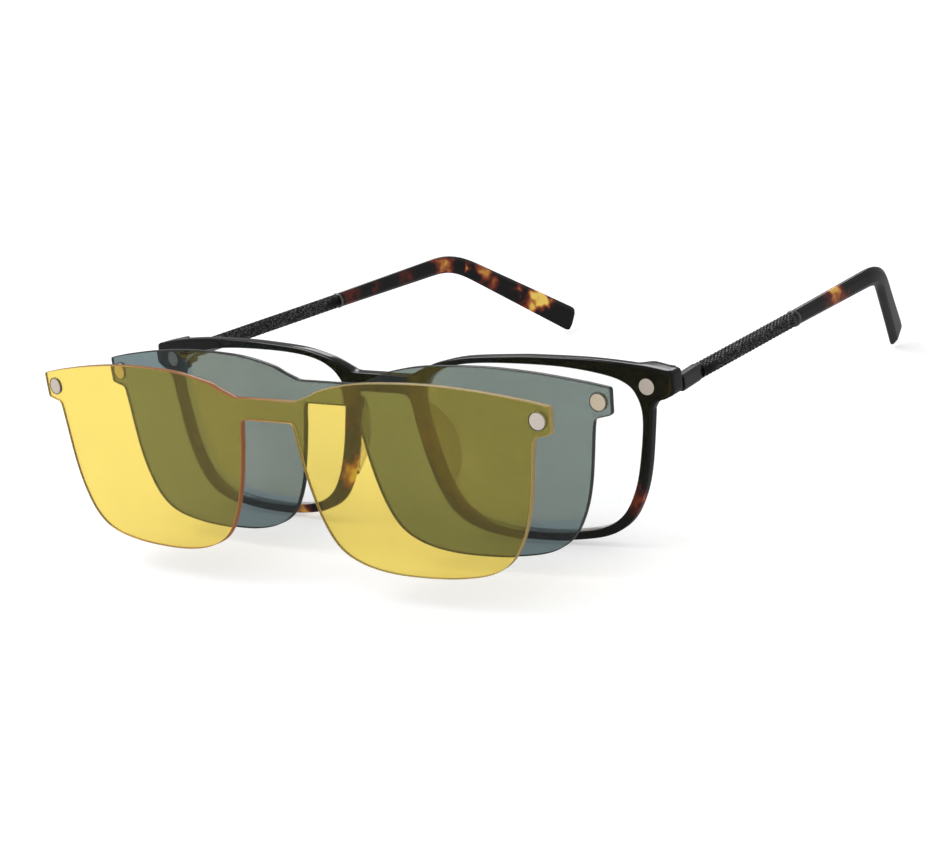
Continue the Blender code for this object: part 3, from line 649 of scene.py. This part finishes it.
def add_plate(shell, front, offset):
    """A plate between two lines, with a round hole through each tab: columns at the same u."""
    hole = MAGNET_RADIUS + 0.05
    lower, upper = (rising(line) for line in clip_lines())
    angle = np.linspace(0, np.pi, 25)
    holes = MAGNET_U + (hole + PLATE_SOFT) * np.cos(angle)
    spaced = np.arange(0, EYE_OUT, 1.5)
    u = np.unique(np.round(np.concatenate([lower[0], upper[0], holes, spaced]), 5))
    u = np.concatenate([-u[:0:-1], u])
    low = np.stack([u, np.interp(np.abs(u), *lower)], axis=1)
    high = np.stack([u, np.interp(np.abs(u), *upper)], axis=1)
    ring = np.vstack([low, high[-2:0:-1]])
    soft, back = PLATE_SOFT, CLIP_THICKNESS
    profile = [(soft + 0.06, 0), (soft, 0), (0.3 * soft, 0.3 * soft), (0, soft),
               (0, back - soft), (0.3 * soft, back - 0.3 * soft), (soft, back), (soft + 0.06, back)]
    moved = [(inset(ring, move), front + depth) for move, depth in profile]
    loops = [bend(line[:, 0], depth, line[:, 1]) for line, depth in moved]
    # the edge loops take the second finish: a painted glow or painted shade on the cut edge
    shell.add(np.array(loops) + offset, around=True, tone=1)
    face = inset(ring, soft + 0.06)
    face_low = face[: len(u)]
    face_high = np.vstack([face[:1], face[: len(u) - 1 : -1], face[len(u) - 1 : len(u)]])
    share = np.clip(np.abs(u) - MAGNET_U, -hole - soft, hole + soft)
    half = np.sqrt(np.maximum((hole + soft) ** 2 - share**2, 0))
    level = np.clip(0, face_low[:, 1], face_high[:, 1])
    middle_u = (face_low[:, 0] + face_high[:, 0]) / 2
    for depth in (front, front + back):
        for painted_edge, sign in ((face_low, -1), (face_high, 1)):
            rim = np.stack([np.where(half > 0, u, middle_u), level + sign * half], axis=1)
            share = np.linspace(0, 1, 4)[:, None, None]
            grid = painted_edge * (1 - share) + rim * share
            shell.add(bend(grid[..., 0], depth, grid[..., 1]) + offset)
    rounds = np.concatenate([angle, -angle[-2:0:-1]])
    bore = [(hole + soft, 0), (hole, soft), (hole, back - soft), (hole + soft, back)]
    # each bore takes the third finish, painted shade
    for side in (1, -1):
        rows = [bend(side * (MAGNET_U + r * np.cos(rounds)), front + d, r * np.sin(rounds)) for r, d in bore]
        shell.add(np.array(rows) + offset, around=True, tone=2)
    return shell


def build_clips(finish):
    pitch = CLIP_THICKNESS + CLIP_GAP
    sun = pull("sun_clip_pull")
    yellow = sun + pull("yellow_clip_pull")
    for word, layers, offset in (("sun", 1, sun), ("yellow", 2, yellow)):
        body = f"{word}_clip"
        plate = add_plate(Shell(), -layers * pitch, offset)
        # the second and third finishes paint the plate's cut edge and its magnet bores with painted glow or
        # painted shade
        looks = [finish[word], finish[f"{word}_edge"], finish["hole"]]
        piece(f"{word}_tinted_plate", plate, looks, body, [f"{word}_clip_plate"])
        for side, hand in SIDES:
            magnet = add_magnet(Shell(), side, -layers * pitch, CLIP_THICKNESS, 0.0, offset * (side, 1, 1))
            piece(f"{word}_magnet_{hand}", magnet, finish["magnet"], body,
                  [f"{word}_clip_magnet_{hand}"])


# ---------------------------------------------------------------- temples


def heading(turn, rise):
    """Direction that turns inwards from +Y and rises towards +Z."""
    return np.array([-math.sin(turn) * math.cos(rise), math.cos(turn) * math.cos(rise), math.sin(rise)])


HEAD_WAY = heading(HEAD_TURN, 0)
HEAD_START = np.array([BAR_X, BUTT_Y, -HINGE_DROP])
HEAD_END = HEAD_START + HEAD_WAY * HEAD_LENGTH
STRAIGHT = heading(TEMPLE_TURN, TEMPLE_RISE)
TAIL = heading(TAIL_TURN, -TAIL_DROP)
SLEEVE_START = HEAD_END + STRAIGHT * GAP
RING_START = SLEEVE_START + STRAIGHT * (SLEEVE_LENGTH + GAP)
TIP_FRONT = RING_START + STRAIGHT * (RING_LENGTH + GAP)
TIP_LENGTH = TIP_STRAIGHT + TIP_BEND + TIP_TAIL


def tip_path(count=400):
    """The tip's middle line: its heading eases from straight to tail across the bend."""
    place = np.linspace(0, TIP_LENGTH, count)
    share = ease((place - TIP_STRAIGHT) / TIP_BEND)[:, None]
    ways = STRAIGHT * (1 - share) + TAIL * share
    ways /= np.linalg.norm(ways, axis=1, keepdims=True)
    steps = (ways[1:] + ways[:-1]) / 2 * np.diff(place)[:, None]
    points = TIP_FRONT + np.vstack([np.zeros(3), np.cumsum(steps, axis=0)])
    return place, points, ways


def tip_point(place, up=0.0):
    """A point of the tip's middle line, moved up across it."""
    known, points, ways = tip_path()
    k = int(np.argmin(np.abs(known - place)))
    return points[k] + frame_of(ways[k])[1] * up


def tip_grid():
    """A chamfered bar that widens along the path and closes in a squared, softened end."""
    known, points, ways = tip_path()
    length = TIP_LENGTH - TIP_INSET
    body = np.linspace(0, length - TIP_END_RUN, 150)
    turns = np.radians(np.linspace(0, 90, 12)[1:])
    place = np.concatenate([body, length - TIP_END_RUN + TIP_END_RUN * np.sin(turns)])
    shrink = np.concatenate([np.ones(len(body)), np.cos(turns) ** 0.5])
    knots = (0, TIP_STRAIGHT + TIP_BEND / 2, TIP_LENGTH)
    thick, wide = (np.interp(place, knots, [size[k] for size in TIP_SIZES]) for k in (0, 1))
    path = np.stack([np.interp(place, known, points[:, k]) for k in range(3)], axis=1)
    way = np.stack([np.interp(place, known, ways[:, k]) for k in range(3)], axis=1)
    way /= np.linalg.norm(way, axis=1, keepdims=True)
    outlines = [
        chamfered(t, w, 0.36 * t, 0.24 * w, 0.35, 5) * (0.25 + 0.75 * s, 0.62 + 0.38 * s)
        for t, w, s in zip(thick, wide, shrink)
    ]
    return capped(sweep(path, way, outlines, TAIL_ROLL * ease((place - TIP_STRAIGHT) / TIP_BEND)))


def sleeve_grid():
    """A knurled tube, and 1 on each crest and 0 in each groove for its finish, which paints the crests worn and
    bright and the grooves in painted shade.

    Two families of helical grooves cut r = R - depth * (1 - lower of two waves).
    """
    rows = round(SLEEVE_LENGTH / KNURL_PITCH) * 4 + 1
    cols = KNURL_ROUND * 4
    height = np.linspace(0, SLEEVE_LENGTH, rows)[:, None]
    angle = (np.arange(cols) * 2 * np.pi / cols)[None]
    around, along = angle * KNURL_ROUND / (2 * np.pi), height / KNURL_PITCH / 2
    waves = [np.abs(np.mod(around + sign * along, 1) - 0.5) * 2 for sign in (1, -1)]
    cut = 1 - np.clip(np.minimum(*waves) * 1.6, 0, 1)
    plain = ease((height - 0.35) / 0.3) * ease((SLEEVE_LENGTH - 0.35 - height) / 0.3)
    radius = SLEEVE_RADIUS - KNURL_DEPTH * np.maximum(cut * plain, 0.25 * (1 - plain))
    across, up = frame_of(STRAIGHT)
    spokes = np.cos(angle)[..., None] * across + np.sin(angle)[..., None] * up
    crest_share = 1 - cut * plain - 0.7 * (1 - plain)
    share = np.pad(crest_share, ((1, 1), (0, 0)))
    tube = SLEEVE_START + height[..., None] * STRAIGHT + radius[..., None] * spokes
    ends = [SLEEVE_START + STRAIGHT * h + (CORE_RADIUS + 0.05) * spokes for h in (0, SLEEVE_LENGTH)]
    return np.concatenate([ends[0], tube, ends[1]]), share.ravel()


def ring_grid():
    """A narrow ring with a rounded outside."""
    turns = np.linspace(-np.pi / 2, np.pi / 2, 9)
    half = RING_LENGTH / 2
    outside = [(RING_RADIUS - 0.3 + 0.3 * math.cos(t), half + half * math.sin(t)) for t in turns]
    inner = CORE_RADIUS + 0.05
    return turned([(inner, 0), *outside, (inner, RING_LENGTH)], RING_START, STRAIGHT, 64)


def knuckle_grid(low, high, foot):
    """A bored knuckle: an outer wall that is a circle grown out to its foot's rectangle, and the bore."""
    angle = np.arange(96) * 2 * np.pi / 96
    cos, sin = np.cos(angle), np.sin(angle)
    x_low, x_high, y_low, y_high = foot
    with np.errstate(divide="ignore"):
        reach_x = np.where(cos > 0, x_high, -x_low) / np.abs(cos)
        reach_y = np.where(sin > 0, y_high, -y_low) / np.abs(sin)
    outer = np.maximum(KNUCKLE_RADIUS, np.minimum(reach_x, reach_y))
    bore = np.full_like(outer, SCREW_RADIUS + 0.12)
    soft = 0.07
    rows = [(bore, low + soft), (bore + soft, low), (outer - soft, low), (outer, low + soft),
            (outer, high - soft), (outer - soft, high), (bore + soft, high), (bore, high - soft)]
    return np.array([
        np.stack([AXIS_X + r * cos, AXIS_Y + r * sin, np.full_like(r, h)], axis=-1) for r, h in rows
    ])


def temple_head():
    """The flat head with its knuckle, and the core rod that runs back through the sleeve."""
    outline = chamfered(BAR_WIDTH, BAR_HEIGHT, 0.48, 0.66, 0.16, 4)
    place = np.array([0, 0.0, 0.06, 0.18, 0.6, 2, 4, 6, HEAD_LENGTH - 0.3, HEAD_LENGTH - 0.1, HEAD_LENGTH])
    shrink = np.array([0.93, 0.93, 0.975, 1, 1, 1, 1, 1, 1, 0.98, 0.94])[:, None, None]
    path = HEAD_START + HEAD_WAY * place[:, None]
    head = sweep(path, np.repeat(HEAD_WAY[None], len(place), axis=0), outline[None] * shrink)
    shell = Shell().add(capped(head), around=True)
    rod = [(CORE_RADIUS, 0), (CORE_RADIUS, (TIP_FRONT - HEAD_END) @ STRAIGHT + 4)]
    shell.add(capped(turned(rod, HEAD_END - STRAIGHT * 2, STRAIGHT, 32)), around=True)
    half = MIDDLE_KNUCKLE / 2
    foot = (0, BAR_X - AXIS_X - 0.4, -0.7, 0.9)
    shell.add(knuckle_grid(-HINGE_DROP - half, -HINGE_DROP + half, foot), around=True, along=True)
    return shell


def hinge_plate():
    """The plate on the end piece's back, with its upper and lower knuckles."""
    width, height = 2 * KNUCKLE_RADIUS, 2 * (HINGE_HALF + PLATE_MARGIN)
    outline = chamfered(width, height, 0.35, 0.35, 0.2, 5)
    place = np.array([0, 0, 0.08, PLATE_THICKNESS - 0.12, PLATE_THICKNESS - 0.03, PLATE_THICKNESS])
    shrink = np.array([0.96, 0.96, 1, 1, 0.98, 0.94])[:, None, None]
    path = np.array([AXIS_X, BUTT_Y, -HINGE_DROP]) + np.outer(place, (0, 1, 0))
    shell = Shell()
    ways = np.tile((0.0, 1.0, 0.0), (len(place), 1))
    shell.add(capped(sweep(path, ways, outline[None] * shrink)), around=True)
    foot = (-KNUCKLE_RADIUS, KNUCKLE_RADIUS, BUTT_Y + PLATE_THICKNESS / 2 - AXIS_Y, 0)
    gap = MIDDLE_KNUCKLE / 2 + 0.12
    for low, high in ((gap, HINGE_HALF), (-HINGE_HALF, -gap)):
        shell.add(knuckle_grid(low - HINGE_DROP, high - HINGE_DROP, foot), around=True, along=True)
    return shell


def mirrored(shell, side):
    """The shell for the right side, or its mirror image for the left."""
    shell.points = [flip(points, side) for points in shell.points]
    return shell


def build_temples(finish):
    for side, word in SIDES:
        body = f"temple_{word}"
        piece(f"hinge_leaf_{word}", mirrored(hinge_plate(), side), finish["gunmetal"], "front",
              [f"hinge_plate_{word}"])
        screw = frame["nodes"][f"hinge_screw_{word}"]
        for slot in screw.material_slots:
            slot.material = finish["steel"]
        piece(f"temple_head_{word}", mirrored(temple_head(), side), finish["gunmetal"], body,
              [f"temple_arm_{word}"])
        grid, crests = sleeve_grid()
        sleeve = Shell().add(flip(grid, side), around=True, along=True)
        tube = piece(f"knurled_tube_{word}", sleeve, finish["knurl"], body,
                     [f"knurled_sleeve_{word}"])
        tube.data.attributes.new("crest", "FLOAT", "POINT").data.foreach_set("value", crests)
        ring = Shell().add(flip(ring_grid(), side), around=True, along=True)
        piece(f"bright_ring_{word}", ring, finish["steel"], body, [f"end_ring_{word}"])
        tip = Shell().add(flip(tip_grid(), side), around=True)
        piece(f"acetate_tip_{word}", tip, finish[f"tip_{word}"], body,
              [f"temple_tip_{word}"], sharp=50)


# -------------------------------------------------------------- materials


class Value:
    """A shader socket that takes part in arithmetic."""

    def __init__(self, graph, socket):
        self.graph = graph
        self.socket = socket

    def math(self, operation, *others, clamp=False):
        settings = {"operation": operation, "use_clamp": clamp}
        return self.graph.node("Math", settings, dict(enumerate(others)))

    def __add__(self, other):
        return self.math("ADD", self, other)

    def __sub__(self, other):
        return self.math("SUBTRACT", self, other)

    def __rsub__(self, other):
        return self.math("SUBTRACT", other, self)

    def __mul__(self, other):
        return self.math("MULTIPLY", self, other)

    def __truediv__(self, other):
        return self.math("DIVIDE", self, other)

    def clamped(self):
        return self.math("ADD", self, 0.0, clamp=True)

    def most(self, other):
        return self.math("MAXIMUM", self, other)

    __radd__ = __add__
    __rmul__ = __mul__


class Graph:
    """The nodes of a material or of the world."""

    def __init__(self, tree):
        self.tree = tree

    def feed(self, socket, value):
        if isinstance(value, Value):
            self.tree.links.new(value.socket, socket)
        else:
            socket.default_value = value

    def node(self, kind, settings=None, inputs=None, output=0):
        """Any node: its type, its settings, then the values or links of its sockets."""
        made = self.tree.nodes.new("ShaderNode" + kind)
        for key, value in (settings or {}).items():
            if key == "stops":
                ramp = made.color_ramp.elements
                for place, color in value:
                    stop = ramp.new(place) if 0 < place < 1 else ramp[0 if place == 0 else -1]
                    stop.color = (*color, 1)
            else:
                setattr(made, key, value)
        for key, value in (inputs or {}).items():
            self.feed(made.inputs[key], value)
        return Value(self, made.outputs[output])

    def place(self):
        """Object coordinates in millimetres."""
        raw = self.node("TexCoord", output="Object")
        return self.node("VectorMath", {"operation": "SCALE"}, {0: raw, "Scale": 1 / MM})

    def noise(self, place, scale, detail=2.0, rough=0.5, seed=0.0):
        inputs = {"Vector": place, "W": seed, "Scale": scale, "Detail": detail, "Roughness": rough}
        return self.node("TexNoise", {"noise_dimensions": "4D"}, inputs)

    def ramp(self, value, *stops):
        return self.node("ValToRGB", {"stops": stops}, {0: value})

    def mirrored_light(self):
        """1 for light that reaches a glossy surface by reflection, and 0 for what is seen or lights."""
        passed = self.node("LightPath", output="Is Transmission Ray")
        return self.node("LightPath", output="Is Glossy Ray") * (1 - passed)


class Finish(Graph):
    """A material in the making, with one Principled shader."""

    def __init__(self, name, **constants):
        self.material = bpy.data.materials.new(name)
        self.material.use_nodes = True
        super().__init__(self.material.node_tree)
        self.shader = self.tree.nodes["Principled BSDF"]
        for key, value in constants.items():
            self.shader.inputs[key.replace("_", " ")].default_value = value

    def bump(self, height, distance, strength=1.0):
        inputs = {"Strength": strength, "Distance": distance * MM, "Height": height}
        self.feed(self.shader.inputs["Normal"], self.node("Bump", None, inputs))

    def set(self, **values):
        for key, value in values.items():
            self.feed(self.shader.inputs[key.replace("_", " ")], value)
        return self.material


def acetate(name, spots, seed, scatter=1.6):
    """Black acetate with amber clouds that glow up near the given places: (point, radius, warmth)."""
    f = Finish(name, IOR=1.5)
    place = f.place()
    stir = f.node("TexNoise", None, {"Vector": place, "Scale": 0.32, "Detail": 1.5}, output="Color")
    stir = f.node("VectorMath", {"operation": "SUBTRACT"}, {0: stir, 1: (0.5, 0.5, 0.5)})
    stirred = f.node("VectorMath", {"operation": "MULTIPLY_ADD"}, {0: stir, 1: (6.0, 6.0, 6.0), 2: place})
    glow = None
    for point, radius, warmth in spots:
        centre = tuple(stand(point) / MM)
        away = f.node("VectorMath", {"operation": "DISTANCE"}, {0: stirred, 1: centre}, "Value")
        here = ((1.25 - 1.25 * (away / radius)).clamped()) * warmth
        glow = here if glow is None else glow.most(here)
    cloud = f.noise(stirred, 0.11, 3.0, 0.55, seed)
    scattered = ((cloud - 0.62) * scatter).clamped()
    streak = f.noise(stirred, 0.5, 2.0, 0.5, seed + 3.0)
    amount = glow.most(scattered) * (0.72 + streak * 0.56)
    color = f.ramp(
        amount, (0.0, (0.0045, 0.004, 0.004)), (0.14, (0.010, 0.005, 0.0045)), (0.30, (0.062, 0.010, 0.006)),
        (0.48, (0.17, 0.030, 0.011)), (0.64, (0.31, 0.105, 0.024)), (0.82, (0.55, 0.27, 0.05)),
        (1.0, (0.74, 0.52, 0.10)),
    )
    polish = f.noise(place, 1.7, 3.0, 0.5, seed)
    f.bump(polish, 0.008, 0.2)
    return f.set(Base_Color=color, Roughness=0.08 + polish * 0.06)


def metal(name, dark, light, rough, grain, share=1.0):
    """Plated metal whose tone and gloss waver slightly, with a fine grain."""
    f = Finish(name, Metallic=share)
    place = f.place()
    wave = f.noise(place, 0.6, 4.0, 0.6)
    fine = f.noise(place, grain, 2.0, 0.6, 2.0)
    color = f.ramp(wave * 0.7 + fine * 0.3, (0.0, dark), (1.0, light))
    f.bump(fine, 0.006, 0.3)
    return f.set(Base_Color=color, Roughness=rough + (wave - 0.5) * 0.12 + (fine - 0.5) * 0.1)


def knurled(name):
    """Gunmetal with worn, brighter crests and painted shade in the grooves: the crest attribute is 1 on a diamond
    and 0 in a groove, where the colour goes near black.
    """
    f = Finish(name, Metallic=0.9)
    place = f.place()
    crests = f.node("Attribute", {"attribute_name": "crest"}, output="Fac")
    wave = f.noise(place, 0.9, 3.0, 0.6)
    fleck = f.noise(place, 2.6, 1.0, 0.5, 5.0)
    worn_and_shaded = crests * (0.66 + (fleck - 0.5) * 0.7)
    # the brighter crests are wear; the near-black grooves are painted shade
    color = f.ramp(
        worn_and_shaded + (wave - 0.5) * 0.2, (0.0, (0.012, 0.012, 0.0125)), (0.4, (0.055, 0.055, 0.057)),
        (0.7, (0.34, 0.34, 0.345)), (1.0, (0.75, 0.75, 0.75)),
    )
    return f.set(Base_Color=color, Roughness=0.36 + (wave - 0.5) * 0.2)


def tinted(name, color, clear, rough=0.02):
    """A tinted see-through plastic: light that enters is coloured, and a small share is scattered."""
    f = Finish(name, Transmission_Weight=clear, IOR=1.49)
    wave = f.noise(f.place(), 0.05, 2.0)
    deep = tuple(c * 0.95 for c in color)
    return f.set(Base_Color=f.ramp(wave, (0.3, deep), (0.7, color)), Roughness=rough + wave * 0.02)


def painted_edge_glow_and_shade(name, clear, *stops):
    """The cut edge of a tinted plate in painted light: a painted glow or painted shade whose tone runs from the
    wearer's right to left.
    """
    f = Finish(name, Transmission_Weight=clear, IOR=1.49)
    place = f.place()
    reach = f.node("SeparateXYZ", None, {0: place}) / (2 * TAB_U) + 0.5
    wave = f.noise(place, 0.35, 3.0)
    return f.set(Base_Color=f.ramp(reach + (wave - 0.5) * 0.12, *stops), Roughness=0.16 + wave * 0.1)


def front_spots():
    """Warm places on the front, at (u, z) on its face."""
    places = (
        (-12.3, -21.4, 5.0, 1.15), (-27.5, -31.6, 4.0, 1.05), (-21.9, -31.0, 3.0, 0.6),
        (58.6, -23.0, 3.8, 0.66), (10.7, -12.5, 4.8, 0.85), (-58.0, -17.8, 4.5, 0.5),
        (18.3, -26.5, 4.5, 0.5), (36.3, -29.9, 3.5, 0.35), (-10.0, -10.0, 4.0, 0.4),
    )
    return [(bend(u, RIM_DEPTH / 2, z), radius, warmth) for u, z, radius, warmth in places]


def tip_spots(side):
    """Warm places along a tip: length from its front end, height across it."""
    left = (
        (3, 0, 4.0, 0.42), (12, -0.5, 2.5, 0.4), (22, 0.5, 3.5, 0.36), (35.5, 0, 4.2, 0.85),
        (43, 0, 1.8, 0.75), (48, 0.6, 3.4, 0.72), (51.5, -0.9, 3.2, 0.85), (59, 0.3, 2.8, 0.6),
        (63.5, -1.4, 3.6, 0.9), (66.5, 1.2, 4.4, 1.5),
    )
    right = ((13, 0.8, 3.5, 0.42), (17.0, 0.6, 4.6, 0.82), (19.5, -0.8, 3.4, 0.72))
    places = left if side < 0 else right
    return [(flip(tip_point(s, up), side), radius, warmth) for s, up, radius, warmth in places]


def make_finishes():
    return {
        "front": acetate("black_tortoise_front", front_spots(), 1.0, 0.8),
        "tip_right": acetate("black_tortoise_tip_right", tip_spots(1), 4.0, 0.5),
        "tip_left": acetate("black_tortoise_tip_left", tip_spots(-1), 7.0, 0.8),
        "magnet": metal("plated_magnet", (0.56, 0.49, 0.43), (0.70, 0.62, 0.54), 0.55, 9.0, 0.22),
        "steel": metal("steel", (0.20, 0.20, 0.205), (0.34, 0.34, 0.345), 0.28, 9.0),
        "gunmetal": metal("gunmetal", (0.085, 0.085, 0.088), (0.15, 0.15, 0.155), 0.34, 7.0),
        "knurl": knurled("knurled_gunmetal"),
        "pad": tinted("smoke_acetate", (0.74, 0.70, 0.60), 0.97, 0.05),
        "clear": tinted("clear_demo_lens", (0.985, 0.99, 0.988), 1.0, 0.0),
        "sun": tinted("grey_green_tint", (0.166, 0.218, 0.228), 0.985),
        # painted shade: the sun plate's cut edge drawn near black
        "sun_edge": painted_edge_glow_and_shade(
            "painted_dark_edge_shade", 0.3, (0.0, (0.02, 0.024, 0.023)), (1.0, (0.035, 0.042, 0.04)),
        ),
        # painted glow: the yellow plate's cut edge drawn orange-red, changing from right to left
        "yellow": tinted("yellow_tint", (0.90, 0.705, 0.160), 0.985),
        "yellow_edge": painted_edge_glow_and_shade(
            "painted_orange_edge_glow", 0.6, (0.0, (0.70, 0.46, 0.16)), (0.18, (0.60, 0.27, 0.08)),
            (0.44, (0.60, 0.20, 0.07)), (0.50, (0.60, 0.30, 0.12)), (0.70, (0.72, 0.58, 0.26)),
            (1.0, (0.66, 0.44, 0.14)),
        ),
        # painted shade: the bore round each clip magnet drawn near black
        "hole": painted_edge_glow_and_shade("painted_shade_hole", 0.1, (0.0, (0.030, 0.028, 0.022)), (1.0, (0.045, 0.042, 0.030))),
    }


# ------------------------------------------------------------------ stage

REFLECTED = 0.24  # brightness of the studio in reflections, beside what lights the object
FLOOR_REACH = 4.0  # metres from the middle to each side
FLOOR_GAP = 0.0005  # metres below the glasses


def pale_floor():
    f = Finish("pale_floor", Roughness=0.9, Emission_Strength=0.92)
    wave = f.noise(f.place(), 0.004, 2.0)
    tone = f.ramp(wave, (0.0, (0.53, 0.53, 0.53)), (1.0, (0.55, 0.55, 0.55)))
    mirror = f.mirrored_light()
    tone = f.node("Mix", {"data_type": "RGBA"}, {0: mirror, 6: tone, 7: (0.11, 0.11, 0.11, 1)}, 2)
    return f.set(Base_Color=tone, Emission_Color=tone)


def build_stage():
    mesh = bpy.data.meshes.new("pale_floor")
    corners = [(x * FLOOR_REACH, y * FLOOR_REACH, 0) for x, y in ((-1, -1), (1, -1), (1, 1), (-1, 1))]
    mesh.from_pydata(corners, [], [(0, 1, 2, 3)])
    mesh.materials.append(pale_floor())
    floor = bpy.data.objects.new("pale_floor", mesh)
    floor.location.z = -FLOOR_GAP
    bpy.context.scene.collection.objects.link(floor)


def area_light(name, place, target, size, power):
    light = bpy.data.lights.new(name, "AREA")
    light.shape = "RECTANGLE"
    light.size, light.size_y = size
    light.energy = power
    obj = bpy.data.objects.new(name, light)
    obj.location = place
    obj.rotation_euler = (Vector(target) - Vector(place)).to_track_quat("-Z", "Y").to_euler()
    bpy.context.scene.collection.objects.link(obj)


def build_light():
    world = bpy.data.worlds.new("studio")
    world.use_nodes = True
    graph = Graph(world.node_tree)
    background = world.node_tree.nodes["Background"]
    background.inputs["Color"].default_value = (1, 1, 1, 1)
    graph.feed(background.inputs["Strength"], 1 - graph.mirrored_light() * (1 - REFLECTED))
    bpy.context.scene.world = world
    area_light("overhead", (-0.6, -0.2, 0.85), (0, 0, 0), (0.7, 0.45), 4)
    area_light("behind", (-0.5, 0.9, 0.5), (0, 0, 0.02), (0.6, 0.2), 1)
    bpy.context.scene.view_settings.view_transform = "Standard"


CAMERA_PLACE = (344.6, -387.1, 115.5)
CAMERA_RIGHT = (0.7825, 0.6115, -0.1171)
CAMERA_UP = (-0.0611, 0.2627, 0.9630)
FOCAL_LENGTH = 98.07


def build_camera():
    """The camera is placed in the front's axes and tipped with the glasses."""
    right = TURN @ np.array(CAMERA_RIGHT)
    right /= np.linalg.norm(right)
    up = TURN @ np.array(CAMERA_UP)
    up -= right * (up @ right)
    up /= np.linalg.norm(up)
    data = bpy.data.cameras.new("camera")
    data.sensor_width = 36
    data.sensor_fit = "HORIZONTAL"
    data.lens = FOCAL_LENGTH
    data.clip_start = 0.01
    camera = bpy.data.objects.new("camera", data)
    axes = np.stack([right, up, np.cross(right, up)], axis=1)
    camera.matrix_world = Matrix.Translation(stand(CAMERA_PLACE)) @ Matrix(axes.tolist()).to_4x4()
    bpy.context.scene.collection.objects.link(camera)
    bpy.context.scene.camera = camera


# ------------------------------------------------------------------- make

build_camera()
finishes = make_finishes()
build_front(finishes)
build_temples(finishes)
build_clips(finishes)
build_stage()
build_light()
